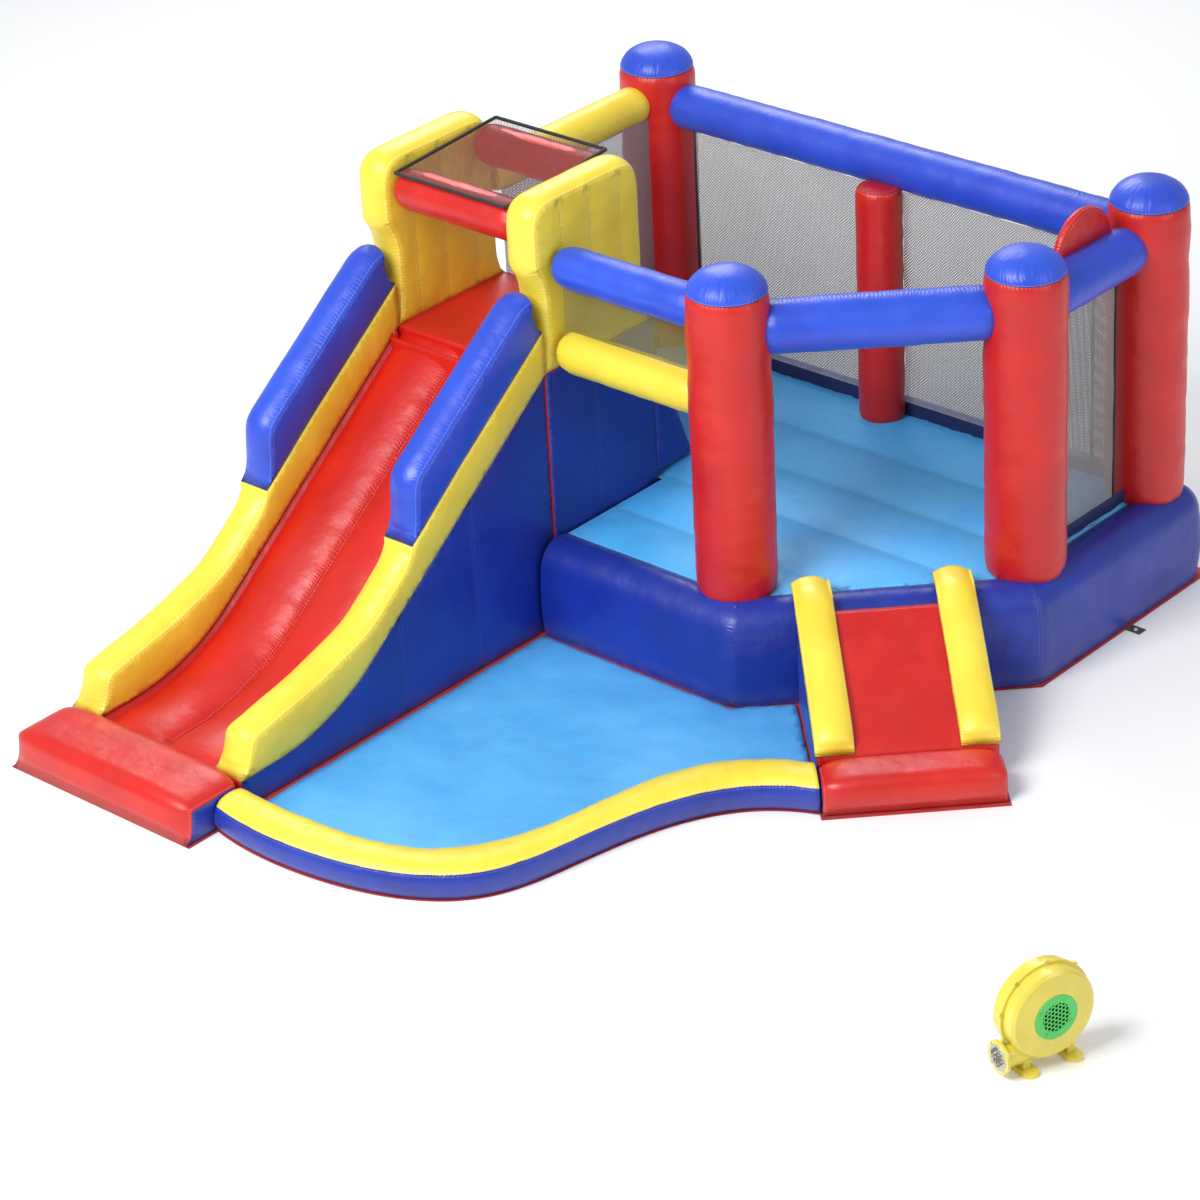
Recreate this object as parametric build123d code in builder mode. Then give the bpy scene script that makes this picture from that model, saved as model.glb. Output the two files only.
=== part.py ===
"""Inflatable bounce house: bouncing room, climbing tower, slide, splash pool, entry ramp and blower.

Millimetres. +Z is up and z = 0 is the ground. The origin is on the ground, in the middle of the
slide's width and in the front plane of the tower. The slide runs down towards -Y, the bouncing
room lies towards +X and +Y, and the entry ramp leaves the room's cut corner towards +X -Y.
"""
import os
from math import atan2, cos, radians, sin, sqrt
from build123d import *

os.makedirs("parts", exist_ok=True)

# ---- ground and bouncing room ----
SHEET = 3                    # ground sheet thickness
FLOOR_Z = 441                # top of the bouncing floor
SKIN = 12                    # wall of the air chambers that are drawn hollow
BORDER = 190                 # width of the puffed border round the floor
BORDER_ROUND = 85            # rounding of the border's outer top edge
CORNER_ROUND = 120           # rounding of the room's corners in plan
ROOM_FRONT = -137
ROOM_BACK = 2016
ROOM_LEFT = -588
ROOM_RIGHT = 2478
CHAMFER_START = 1564         # X where the front face turns into the 45 degree entry face

# ---- posts, caps and rails ----
POST_R = 175
POST_Z = 400
POST_TOP = 1775
POST_SHOULDER = 35
CAP_R = 163
CAP_TOP = 1871
POST_X = {"left": -403, "front": 1405, "right": 2264}
POST_Y = {"front_left": 119, "front_right": 950, "back": 1811}
MIDDLE_POST = (940, 1700)    # it stands just inside the back net, under the back rail
MIDDLE_POST_R = 105
MIDDLE_POST_TOP = 1560

BOARD_R = 212                # the half-disc target on the right rail
BOARD_X = 2160
BOARD_Y = 1418
BOARD_Z = 1660
BOARD_THICK = 90

# ---- nets ----
NET = 3
NET_Y = 1770                 # plane of the back net
NET_RIGHT_X = 2275
NET_LEFT_X = -330
MESH_TOP = 1600
HEM = 6
HEM_TOP = 499
FLAP = 75                    # width of the dark mesh flaps beside the back posts
WINDOW_Y = 112               # plane of the window net between the tower and the front post
WINDOW_SILL = 1265
WINDOW_TOP = 1650

# ---- tower and slide ----
WIDTH = 1050                 # outer width of slide and tower
WALL = 210                   # thickness of each side wall
TOWER_DEPTH = 672
PLATFORM_Z = 1187
TOWER_TOP = 1974
WALL_STEP_Z = 1575           # above this the side walls bulge forward
WALL_BULGE = 55
WALL_ROUND = 130             # rounding of the side walls' back corners
TUBE_R = 92                  # the tower's two cross tubes and the two window rails
FRONT_TUBE = (92, 1796)      # the tubes' middles in side view
BACK_TUBE = (593, 1827)
SLIDE_END = -1900
SLIDE_KINK = (-1378, 150)    # where the slope and the run-out would meet without their curve
SLIDE_END_Z = 137
SLIDE_CURVE = 1000
CUSHION = 70                 # thickness of the slide's red cushion
PAD_FRONT = -2234
PAD_Z = 189

# ---- climbing side ----
CLIMB_TOP_Z = 1145
CLIMB_FOOT_Y = 930
STEP_R = 35
STEP_COUNT = 4

# ---- pool ----
POOL_WALL_Z = 150
POOL_FLOOR_Z = 24
POOL_ROUND = 45

# ---- entry ramp ----
RAMP_OFFSET = 648            # along the entry face, from its front corner to the ramp's middle
RAMP_WIDTH = 756
BOLSTER = 172
RAMP_RUN = 665
RAMP_LOW_Z = 150
RAMP_PAD_FRONT = 896
RAMP_PAD_Z = 165

# ---- inflation sleeve, deflation zip and anchor tabs ----
SLEEVE_R = 70
SLEEVE_LENGTH = 420
SLEEVE_X = 1650
SLEEVE_Z = 90
FABRIC = 3
ZIP_LENGTH = 320
ZIP_X = 600
ZIP_Z = 120
EYELET_R = 8
TAB_WIDTH = 50
TAB_REACH = 70
TAB_THICK = 4
TAB_CORNER = 300             # from the room's back corners to the tabs on its back
TAB_Y = 1400                 # of the tabs on its left and right

# ---- blower ----
BLOWER_X, BLOWER_Y = 4017, -1357
BLOWER_YAW = -20             # heading of the fan's axis
AXLE_Z = 225
DRUM_R = 178
RIM_R = 190
DRUM_FRONT = 76
DRUM_BACK = -82
SHELL = 4
DUCT_R = 48
DUCT_GAP = 0.3                # between the duct and the opening that it leaves by
DUCT_Y = -145
OUTLET_X = -196
FLANGE_R = 65
GRILLE_R = 89
MESH_R = 58
HEX_PITCH = 15
HEX_BAR = 2.6
FLANGE_BOLT_R = 56
FLANGE_THICK = 12
MOTOR_R = 52
MOTOR_LENGTH = 62
SHAFT_R = 8
IMPELLER_DEPTH = 55
BLADE_COUNT = 20
BLADE_R = 108
BOSS_R = 10                  # the screw bosses on the shells' rim
SCREW_R = 2.6
RIM_HALF = 7
SCREEN = 1.5                 # the steel screen in the outlet
SCREEN_HOLE = 6
SCREEN_PITCH = 9.6

half = WIDTH / 2
inner = half - WALL
diagonal = CHAMFER_START - ROOM_FRONT
chamfer_end = ROOM_RIGHT - diagonal
inner_diagonal = diagonal - BORDER * sqrt(2)


def save(name, piece):
    """Label a finished piece and write its STEP file."""
    piece.part.label = name
    export_step(piece.part, f"parts/{name}.step")


def side_view(x):
    """A plane for side views: sketch x is Y, sketch y is Z, and extrusion runs along +X."""
    return Plane(origin=(x, 0, 0), x_dir=(0, 1, 0), z_dir=(1, 0, 0))


def slide_line(drop):
    """The slide's running surface in side view, lowered by drop."""
    kink_y, kink_z = SLIDE_KINK
    path = [(0, PLATFORM_Z - drop), (kink_y, kink_z - drop), (SLIDE_END, SLIDE_END_Z - drop)]
    return FilletPolyline(*path, radius=SLIDE_CURVE)


# ---- posts and their caps ----
post_places = {
    "front_left": (POST_X["front"], POST_Y["front_left"]),
    "front_right": (POST_X["right"], POST_Y["front_right"]),
    "back_right": (POST_X["right"], POST_Y["back"]),
    "back_left": (POST_X["left"], POST_Y["back"]),
}
post_shapes = {}
for name, (x, y) in post_places.items():
    upright_axis = Axis((x, y, 0), (0, 0, 1))
    with BuildPart() as post_shape:
        with BuildSketch(Plane.XZ.offset(-y)):
            with BuildLine():
                Polyline(
                    (x, POST_Z),
                    (x + POST_R, POST_Z),
                    (x + POST_R, POST_TOP - POST_SHOULDER),
                    (x + CAP_R, POST_TOP),
                    (x, POST_TOP),
                    close=True,
                )
            make_face()
        revolve(axis=upright_axis)
    post_shapes[name] = post_shape

    with BuildPart() as post:
        add(post_shape.part)
        with BuildSketch(Plane.XY.offset(POST_Z + SKIN)):
            with Locations((x, y)):
                Circle(CAP_R - SKIN)
        extrude(amount=POST_TOP - POST_Z - 2 * SKIN, mode=Mode.SUBTRACT)
    save(f"post_{name}", post)

rise = CAP_TOP - POST_TOP
ball_r = (CAP_R**2 + rise**2) / (2 * rise)
with BuildPart() as post_caps:
    for x, y in post_places.values():
        with BuildSketch(Plane.XZ.offset(-y)):
            with BuildLine():
                Line((x, POST_TOP), (x + CAP_R, POST_TOP))
                RadiusArc((x + CAP_R, POST_TOP), (x, CAP_TOP), -ball_r)
                Line((x, CAP_TOP), (x, POST_TOP))
            make_face()
        revolve(axis=Axis((x, y, 0), (0, 0, 1)))
save("post_caps", post_caps)

# ---- rails: each runs between two points and stops at whatever it meets ----
back = POST_Y["back"]
front = POST_Y["front_left"]
right_front = POST_Y["front_right"]
left = POST_X["left"]
rail_runs = {
    "rail_front": ((POST_X["front"], front, 1594), (POST_X["right"], right_front, 1594), 113),
    "rail_back": ((left, back, 1606), (POST_X["right"], back, 1606), 103),
    "rail_right": ((POST_X["right"], right_front, 1596), (POST_X["right"], back, 1596), 105),
    "rail_left_upper": ((half, WINDOW_Y, WINDOW_TOP), (POST_X["front"], WINDOW_Y, WINDOW_TOP), TUBE_R),
    "rail_left_lower": ((half, WINDOW_Y, WINDOW_SILL), (POST_X["front"], WINDOW_Y, WINDOW_SILL), TUBE_R),
    "rail_back_left": ((left, TOWER_DEPTH, 1628), (left, back, 1628), 89),
}
rails = {}
for name, (start, end, radius) in rail_runs.items():
    run = Vector(*end) - Vector(*start)
    with BuildPart() as rail:
        with BuildSketch(Plane(origin=start, z_dir=run)):
            Circle(radius)
        extrude(amount=run.length)
        for post_shape in post_shapes.values():
            add(post_shape.part, mode=Mode.SUBTRACT)
    rails[name] = rail
    save(name, rail)

with BuildPart() as post_back_middle:
    with BuildSketch(Plane.XY.offset(FLOOR_Z)):
        with Locations(MIDDLE_POST):
            Circle(MIDDLE_POST_R)
    extrude(amount=MIDDLE_POST_TOP - FLOOR_Z)
    add(rails["rail_back"].part, mode=Mode.SUBTRACT)
save("post_back_middle", post_back_middle)

# ---- puffed half-disc target that stands on the right rail ----
with BuildPart() as backboard:
    with BuildSketch(side_view(BOARD_X)):
        with BuildLine():
            board_ends = ((BOARD_Y - BOARD_R, BOARD_Z), (BOARD_Y + BOARD_R, BOARD_Z))
            ThreePointArc(board_ends[0], (BOARD_Y, BOARD_Z + BOARD_R), board_ends[1])
            Line(*board_ends)
        make_face()
    extrude(amount=BOARD_THICK)
    add(rails["rail_right"].part, mode=Mode.SUBTRACT)
save("backboard", backboard)

# ---- bouncing room: border round a channelled floor ----
room_outline = [
    (half, ROOM_FRONT),
    (CHAMFER_START, ROOM_FRONT),
    (ROOM_RIGHT, chamfer_end),
    (ROOM_RIGHT, ROOM_BACK),
    (ROOM_LEFT, ROOM_BACK),
    (ROOM_LEFT, TOWER_DEPTH),
    (half, TOWER_DEPTH),
]
floor_front = ROOM_FRONT + BORDER
floor_right = ROOM_RIGHT - BORDER
floor_outline = [
    (half, floor_front),
    (floor_front + inner_diagonal, floor_front),
    (floor_right, floor_right - inner_diagonal),
    (floor_right, ROOM_BACK - BORDER),
    (ROOM_LEFT + BORDER, ROOM_BACK - BORDER),
    (ROOM_LEFT + BORDER, TOWER_DEPTH),
    (half, TOWER_DEPTH),
]


def faces_outside(edge):
    """True for an edge of the room that no tower wall backs."""
    middle = edge.center()
    return middle.Y > TOWER_DEPTH + 1 or middle.X > half + 1


with BuildPart() as room_block:
    with BuildSketch(Plane.XY.offset(SHEET)) as room_sketch:
        with BuildLine():
            Polyline(*room_outline, close=True)
        make_face()
        free_corners = room_sketch.vertices().filter_by(lambda v: v.X > half + 1 or v.Y > ROOM_BACK - 1)
        fillet(free_corners, CORNER_ROUND)
    extrude(amount=FLOOR_Z - SHEET)
    fillet(room_block.edges().group_by(Axis.Z)[-1].filter_by(faces_outside), BORDER_ROUND)

with BuildPart() as bounce_floor:
    with BuildSketch(Plane.XY.offset(SHEET)):
        with BuildLine():
            Polyline(*floor_outline, close=True)
        make_face()
    extrude(amount=FLOOR_Z - SHEET)
    with BuildSketch(Plane.XY.offset(SHEET + SKIN)):
        with BuildLine():
            Polyline(*floor_outline, close=True)
        make_face()
        offset(amount=-SKIN, mode=Mode.REPLACE)
    extrude(amount=POST_Z - SHEET - 2 * SKIN, mode=Mode.SUBTRACT)
    for post_shape in post_shapes.values():
        add(post_shape.part, mode=Mode.SUBTRACT)
save("bounce_floor", bounce_floor)

with BuildPart() as border:
    add(room_block.part)
    with BuildSketch(Plane.XY.offset(SHEET)):
        with BuildLine():
            Polyline(*floor_outline, close=True)
        make_face()
    extrude(amount=FLOOR_Z, mode=Mode.SUBTRACT)
    for post_shape in post_shapes.values():
        add(post_shape.part, mode=Mode.SUBTRACT)
save("border", border)

# ---- tower ----
with BuildPart() as tower_body:
    with BuildSketch(side_view(-half)):
        with Locations((0, SHEET)):
            Rectangle(TOWER_DEPTH, PLATFORM_Z - SHEET, align=(Align.MIN, Align.MIN))
    extrude(amount=WIDTH)
    with Locations((0, TOWER_DEPTH / 2, (PLATFORM_Z + SHEET) / 2)):
        Box(WIDTH - 2 * SKIN, TOWER_DEPTH - 2 * SKIN, PLATFORM_Z - SHEET - 2 * SKIN, mode=Mode.SUBTRACT)
save("tower_body", tower_body)

for side, x in (("left", -half), ("right", inner)):
    with BuildPart() as tower_wall:
        with BuildSketch(side_view(x)) as wall_sketch:
            with BuildLine():
                Polyline(
                    (0, PLATFORM_Z),
                    (0, WALL_STEP_Z),
                    (-WALL_BULGE, WALL_STEP_Z + WALL_BULGE),
                    (-WALL_BULGE, TOWER_TOP),
                    (TOWER_DEPTH, TOWER_TOP),
                    (TOWER_DEPTH, PLATFORM_Z),
                    close=True,
                )
            make_face()
            fillet(wall_sketch.vertices().group_by(Axis.Y)[-1], WALL_ROUND)
        extrude(amount=WALL)
    save(f"tower_wall_{side}", tower_wall)

for name, place in (("tower_tube_front", FRONT_TUBE), ("tower_tube_back", BACK_TUBE)):
    with BuildPart() as tube:
        with BuildSketch(side_view(-inner)):
            with Locations(place):
                Circle(TUBE_R)
        extrude(amount=2 * inner)
    save(name, tube)

roof_slope = atan2(BACK_TUBE[1] - FRONT_TUBE[1], BACK_TUBE[0] - FRONT_TUBE[0])
roof_plane = Plane(
    origin=(0, (FRONT_TUBE[0] + BACK_TUBE[0]) / 2, (FRONT_TUBE[1] + BACK_TUBE[1]) / 2),
    x_dir=(1, 0, 0),
    z_dir=(0, -sin(roof_slope), cos(roof_slope)),
)
with BuildPart() as roof_net:
    with BuildSketch(roof_plane.offset(TUBE_R + 1)):
        Rectangle(2 * inner - 2, TOWER_DEPTH - 40)
    extrude(amount=NET)
save("roof_net", roof_net)

# ---- climbing side: a steep pad with steps, standing on the bouncing floor ----
with BuildPart() as climbing_wall:
    with BuildSketch(side_view(-half)):
        with BuildLine():
            Polyline(
                (TOWER_DEPTH, FLOOR_Z),
                (TOWER_DEPTH, CLIMB_TOP_Z),
                (CLIMB_FOOT_Y, FLOOR_Z),
                close=True,
            )
        make_face()
    extrude(amount=WIDTH)
save("climbing_wall", climbing_wall)

climb_run = Vector(0, CLIMB_FOOT_Y - TOWER_DEPTH, FLOOR_Z - CLIMB_TOP_Z)
with BuildPart() as climbing_steps:
    for step in range(STEP_COUNT):
        share = (step + 0.7) / STEP_COUNT
        place = Vector(0, TOWER_DEPTH, CLIMB_TOP_Z) + climb_run * share
        with BuildSketch(side_view(-inner)):
            with Locations((place.Y, place.Z)):
                Circle(STEP_R)
        extrude(amount=2 * inner)
    add(climbing_wall.part, mode=Mode.SUBTRACT)
save("climbing_steps", climbing_steps)

# ---- slide ----
with BuildPart() as slide_cushion:
    with BuildSketch(side_view(-inner)):
        with BuildLine():
            top = slide_line(0)
            bottom = slide_line(CUSHION)
            Line(top @ 0, bottom @ 0)
            Line(top @ 1, bottom @ 1)
        make_face()
    extrude(amount=2 * inner)
save("slide_cushion", slide_cushion)

with BuildPart() as slide_body:
    with BuildSketch(side_view(-half)):
        with BuildLine():
            top = slide_line(0)
            Polyline(top @ 1, (SLIDE_END, SHEET), (0, SHEET), top @ 0)
        make_face()
    extrude(amount=WIDTH)
    kink_y, kink_z = SLIDE_KINK
    air_top = PLATFORM_Z - CUSHION - 3 * SKIN
    with BuildSketch(side_view(-half + SKIN)):
        with BuildLine():
            Polyline((-SKIN, SHEET + SKIN), (-SKIN, air_top), (kink_y, SHEET + SKIN), close=True)
        make_face()
    extrude(amount=WIDTH - 2 * SKIN, mode=Mode.SUBTRACT)
    add(slide_cushion.part, mode=Mode.SUBTRACT)
save("slide_body", slide_body)

rail_seat = [(0, 1380), (-550, 975), (-790, 785), (-850, 742)]
wall_ridge = [(-850, 742), (-1150, 515), (-1450, 420), (-1862, 335), (SLIDE_END, SLIDE_END_Z)]
handrail_back = [(-850, 742), (-862, 900), (-848, 1043), (-114, 1584), (0, WALL_STEP_Z), (0, 1380)]
for side, x in (("left", -half), ("right", inner)):
    with BuildPart() as slide_wall:
        with BuildSketch(side_view(x)):
            with BuildLine():
                top = slide_line(0)
                FilletPolyline(*wall_ridge, radius=[260, 500, 80])
                Polyline(*rail_seat)
                Line(rail_seat[0], top @ 0)
            make_face()
        extrude(amount=WALL)
    save(f"slide_wall_{side}", slide_wall)

    with BuildPart() as handrail:
        with BuildSketch(side_view(x)):
            with BuildLine():
                Polyline(*rail_seat)
                FilletPolyline(*handrail_back, radius=[60, 110, 60, 4])
            make_face()
        extrude(amount=WALL)
    save(f"handrail_{side}", handrail)

with BuildPart() as landing_pad:
    with BuildSketch(side_view(-half)) as pad_sketch:
        with Locations((PAD_FRONT, SHEET)):
            Rectangle(SLIDE_END - PAD_FRONT, PAD_Z - SHEET, align=(Align.MIN, Align.MIN))
        fillet(pad_sketch.vertices().group_by(Axis.Y)[-1], 50)
    extrude(amount=WIDTH)
save("landing_pad", landing_pad)

# ---- entry ramp, in side view square to the entry face ----
out = Vector(1, -1, 0).normalized()
along = Vector(1, 1, 0).normalized()
ramp_foot = Vector(CHAMFER_START, ROOM_FRONT, 0) + along * RAMP_OFFSET
ramp_view = Plane(origin=ramp_foot, x_dir=out, z_dir=along * -1)
bolster_middle = (RAMP_WIDTH - BOLSTER) / 2

with BuildPart() as ramp_body:
    with BuildSketch(ramp_view):
        with BuildLine():
            Polyline((0, SHEET), (0, FLOOR_Z), (RAMP_RUN, RAMP_LOW_Z), (RAMP_RUN, SHEET), close=True)
        make_face()
    extrude(amount=RAMP_WIDTH / 2, both=True)
save("ramp_body", ramp_body)

for side, offset in (("left", bolster_middle), ("right", -bolster_middle)):
    with BuildPart() as ramp_bolster:
        with BuildSketch(ramp_view.offset(offset)):
            with BuildLine():
                Polyline((0, FLOOR_Z + 1), (-230, FLOOR_Z + 1), (-230, 470))
                RadiusArc((-230, 470), (-175, 525), 55)
                Polyline((-175, 525), (-40, 525), (600, 275), (RAMP_RUN, 225))
                Polyline((RAMP_RUN, 225), (RAMP_RUN, RAMP_LOW_Z + 1), (0, FLOOR_Z + 1))
            make_face()
        extrude(amount=BOLSTER / 2, both=True)
    save(f"ramp_bolster_{side}", ramp_bolster)

with BuildPart() as ramp_pad:
    with BuildSketch(ramp_view) as ramp_pad_sketch:
        with Locations((RAMP_RUN, SHEET)):
            Rectangle(RAMP_PAD_FRONT - RAMP_RUN, RAMP_PAD_Z - SHEET, align=(Align.MIN, Align.MIN))
        fillet(ramp_pad_sketch.vertices().group_by(Axis.Z)[-1], 45)
    extrude(amount=RAMP_WIDTH / 2, both=True)
save("ramp_pad", ramp_pad)

# ---- pool: a puffed wall round a thin padded floor ----
ramp_side = ramp_foot - along * (RAMP_WIDTH / 2)
wall_end_outer = ramp_side + out * 855
wall_end_inner = ramp_side + out * 633
pool_outer = [
    (half, -2074),
    (1066, -2093),
    (1706, -1782),
    (1836, -1373),
    (2001, -859),
    (wall_end_outer.X, wall_end_outer.Y),
]
pool_inner = [
    (half, -1896),
    (974, -1895),
    (1449, -1744),
    (1644, -1426),
    (1742, -969),
    (wall_end_inner.X, wall_end_inner.Y),
]
with BuildPart() as pool_wall:
    with BuildSketch(Plane.XY.offset(SHEET)):
        with BuildLine():
            outer_line = Spline(*pool_outer)
            inner_line = Spline(*pool_inner)
            Line(outer_line @ 0, inner_line @ 0)
            Line(outer_line @ 1, inner_line @ 1)
        make_face()
    extrude(amount=POOL_WALL_Z - SHEET)
    fillet(pool_wall.edges().group_by(Axis.Z)[-1].sort_by(SortBy.LENGTH)[-2:], POOL_ROUND)
save("pool_wall", pool_wall)

with BuildPart() as pool_floor:
    with BuildSketch(Plane.XY.offset(SHEET)):
        with BuildLine():
            inner_line = Spline(*pool_inner)
            Polyline(
                inner_line @ 1,
                (ramp_side.X, ramp_side.Y),
                (CHAMFER_START, ROOM_FRONT),
                (half, ROOM_FRONT),
                inner_line @ 0,
            )
        make_face()
    extrude(amount=POOL_FLOOR_Z - SHEET)
save("pool_floor", pool_floor)

# ---- ground sheet under everything ----
with BuildPart() as ground_sheet:
    with BuildSketch():
        with BuildLine():
            Polyline(*room_outline, close=True)
        make_face()
        with BuildLine():
            outer_line = Spline(*pool_outer)
            Polyline(
                outer_line @ 1,
                (ramp_side.X, ramp_side.Y),
                (CHAMFER_START, ROOM_FRONT),
                (half, ROOM_FRONT),
                outer_line @ 0,
            )
        make_face()
        with Locations((-half, PAD_FRONT)):
            Rectangle(WIDTH, TOWER_DEPTH - PAD_FRONT, align=(Align.MIN, Align.MIN))
        ramp_middle = ramp_foot + out * (RAMP_PAD_FRONT / 2)
        with Locations(Location((ramp_middle.X, ramp_middle.Y, 0), (0, 0, -45))):
            Rectangle(RAMP_PAD_FRONT, RAMP_WIDTH)
    extrude(amount=SHEET)
save("ground_sheet", ground_sheet)

# ---- nets, their mesh flaps and the navy hems at the floor ----
solids_behind_net = [shape.part for shape in post_shapes.values()] + [rail.part for rail in rails.values()]
solids_behind_net += [post_back_middle.part, climbing_wall.part]


def panel(x_span, y_span, z_span):
    """An upright flat panel, cut back to the posts and rails that it is sewn to."""
    with BuildPart() as sheet:
        with BuildSketch(Plane.XY.offset(z_span[0])):
            with Locations(((x_span[0] + x_span[1]) / 2, (y_span[0] + y_span[1]) / 2)):
                Rectangle(x_span[1] - x_span[0], y_span[1] - y_span[0])
        extrude(amount=z_span[1] - z_span[0])
        for solid in solids_behind_net:
            add(solid, mode=Mode.SUBTRACT)
    return sheet


back_chord = sqrt(POST_R**2 - (back - NET_Y) ** 2)
right_chord = sqrt(POST_R**2 - (NET_RIGHT_X - POST_X["right"]) ** 2)
flap_back_x = left + back_chord + FLAP
flap_right_x = POST_X["right"] - back_chord - FLAP
flap_right_y = back - right_chord - FLAP
back_plane = (NET_Y - NET / 2, NET_Y + NET / 2)
right_plane = (NET_RIGHT_X - NET / 2, NET_RIGHT_X + NET / 2)
left_plane = (NET_LEFT_X - NET / 2, NET_LEFT_X + NET / 2)
window_plane = (WINDOW_Y - NET / 2, WINDOW_Y + NET / 2)
nets = {
    "net_back": ((flap_back_x, flap_right_x), back_plane, (HEM_TOP, MESH_TOP)),
    "net_right": (right_plane, (POST_Y["front_right"], flap_right_y), (HEM_TOP, MESH_TOP)),
    "net_left": (left_plane, (TOWER_DEPTH, NET_Y), (HEM_TOP, MESH_TOP)),
    "net_window": ((half, POST_X["front"]), window_plane, (WINDOW_SILL, WINDOW_TOP)),
}
for name, spans in nets.items():
    save(name, panel(*spans))

hem_back = (NET_Y - HEM / 2, NET_Y + HEM / 2)
hem_right = (NET_RIGHT_X - HEM / 2, NET_RIGHT_X + HEM / 2)
hem_left = (NET_LEFT_X - HEM / 2, NET_LEFT_X + HEM / 2)
hem_height = (FLOOR_Z, HEM_TOP)
with BuildPart() as net_hems:
    add(panel((left, POST_X["right"]), hem_back, hem_height).part)
    add(panel(hem_right, (POST_Y["front_right"], back), hem_height).part)
    add(panel(hem_left, (TOWER_DEPTH, back), hem_height).part)
save("net_hems", net_hems)

flap_height = (HEM_TOP, MESH_TOP)
with BuildPart() as net_flaps:
    add(panel((left, flap_back_x), back_plane, flap_height).part)
    add(panel((flap_right_x, POST_X["right"]), back_plane, flap_height).part)
    add(panel(right_plane, (flap_right_y, back), flap_height).part)
save("net_flaps", net_flaps)

# ---- inflation sleeve, the deflation zip and the anchor tabs ----
sleeve_mouth = Plane(origin=(SLEEVE_X, ROOM_BACK, SLEEVE_Z), x_dir=(1, 0, 0), z_dir=(0, 1, 0))
with BuildPart() as inflation_sleeve:
    with BuildSketch(sleeve_mouth):
        Circle(SLEEVE_R)
        Circle(SLEEVE_R - FABRIC, mode=Mode.SUBTRACT)
    extrude(amount=SLEEVE_LENGTH)
save("inflation_sleeve", inflation_sleeve)

zip_plane = Plane(origin=(ZIP_X, ROOM_BACK, ZIP_Z), x_dir=(-1, 0, 0), z_dir=(0, 1, 0))
with BuildPart() as zip_tape:
    with BuildSketch(zip_plane):
        RectangleRounded(ZIP_LENGTH + 40, 34, 6)
    extrude(amount=2)
    with BuildSketch(zip_plane.offset(2)):
        Rectangle(ZIP_LENGTH, 7)
    extrude(amount=2.5)
save("zip_tape", zip_tape)

with BuildPart() as zip_slider:
    with BuildSketch(zip_plane.offset(4.8)):
        with Locations((ZIP_LENGTH / 2 - 12, 0)):
            SlotOverall(22, 14)
    extrude(amount=4)
    with BuildSketch(zip_plane.offset(8.8)):
        with Locations((ZIP_LENGTH / 2 - 12, -16)):
            SlotOverall(44, 10, rotation=90)
    extrude(amount=2)
save("zip_slider", zip_slider)

tab_places = [
    (ROOM_LEFT + TAB_CORNER, ROOM_BACK + TAB_REACH / 2, 90),
    (ROOM_RIGHT - TAB_CORNER, ROOM_BACK + TAB_REACH / 2, 90),
    (ROOM_RIGHT + TAB_REACH / 2, TAB_Y, 0),
    (ROOM_LEFT - TAB_REACH / 2, TAB_Y, 0),
]
with BuildPart() as anchor_tabs:
    for x, y, turn in tab_places:
        with BuildSketch():
            with Locations(Location((x, y, 0), (0, 0, turn))):
                Rectangle(TAB_REACH, TAB_WIDTH)
                Circle(EYELET_R, mode=Mode.SUBTRACT)
    extrude(amount=TAB_THICK)
save("anchor_tabs", anchor_tabs)

# ---- blower, drawn square to the fan's axis: sketch x runs away from the outlet, sketch y is up ----
yaw = radians(BLOWER_YAW)
fan = Plane(
    origin=(BLOWER_X, BLOWER_Y, AXLE_Z),
    x_dir=(-sin(yaw), cos(yaw), 0),
    z_dir=(cos(yaw), sin(yaw), 0),
)
fan_axis = Axis(fan.origin, fan.z_dir)
drum_section = Plane(origin=fan.origin, x_dir=(0, 0, 1), z_dir=fan.x_dir)
outlet = Plane(origin=fan.from_local_coords((OUTLET_X, DUCT_Y, 0)), x_dir=fan.z_dir * -1, z_dir=fan.x_dir)
duct_length = -OUTLET_X - 20

# half sections of the two shells, as (radius, distance along the axis) points
drum_wall = DRUM_R - SHELL
shell_sections = {
    "front": [
        (DRUM_R, 0),
        (DRUM_R, 54),
        (166, 66),
        (GRILLE_R + 6, DRUM_FRONT),
        (GRILLE_R + 0.5, DRUM_FRONT),
        (GRILLE_R + 0.5, DRUM_FRONT - 4.1),
        (GRILLE_R - 15, DRUM_FRONT - 4.1),
        (GRILLE_R - 15, DRUM_FRONT - 8),
        (GRILLE_R + 6, DRUM_FRONT - 8),
        (164, 66 - SHELL),
        (drum_wall, 52),
        (drum_wall, 0),
    ],
    "back": [
        (DRUM_R, 0),
        (DRUM_R, DRUM_BACK + 26),
        (150, DRUM_BACK),
        (0, DRUM_BACK),
        (0, DRUM_BACK + SHELL),
        (148, DRUM_BACK + SHELL),
        (drum_wall, DRUM_BACK + 28),
        (drum_wall, 0),
    ],
}
boss_angles = [88, 130, 169, 204, 47, 5, 272, 322]
boss_places = [((RIM_R - 2) * cos(radians(a)), (RIM_R - 2) * sin(radians(a))) for a in boss_angles]
for side, forward in (("front", 1), ("back", -1)):
    with BuildPart() as housing:
        with BuildSketch(drum_section):
            with BuildLine():
                Polyline(*shell_sections[side], close=True)
            make_face()
        revolve(axis=fan_axis)
        with BuildSketch(fan):
            Circle(RIM_R)
            with Locations(*boss_places):
                Circle(BOSS_R)
            Circle(DRUM_R - SHELL / 2, mode=Mode.SUBTRACT)
            with Locations(*boss_places):
                Circle(SCREW_R, mode=Mode.SUBTRACT)
        extrude(amount=forward * RIM_HALF)
        with BuildSketch(outlet):
            Circle(DUCT_R + DUCT_GAP)
        extrude(amount=duct_length, mode=Mode.SUBTRACT)
    save(f"blower_housing_{side}", housing)

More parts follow.
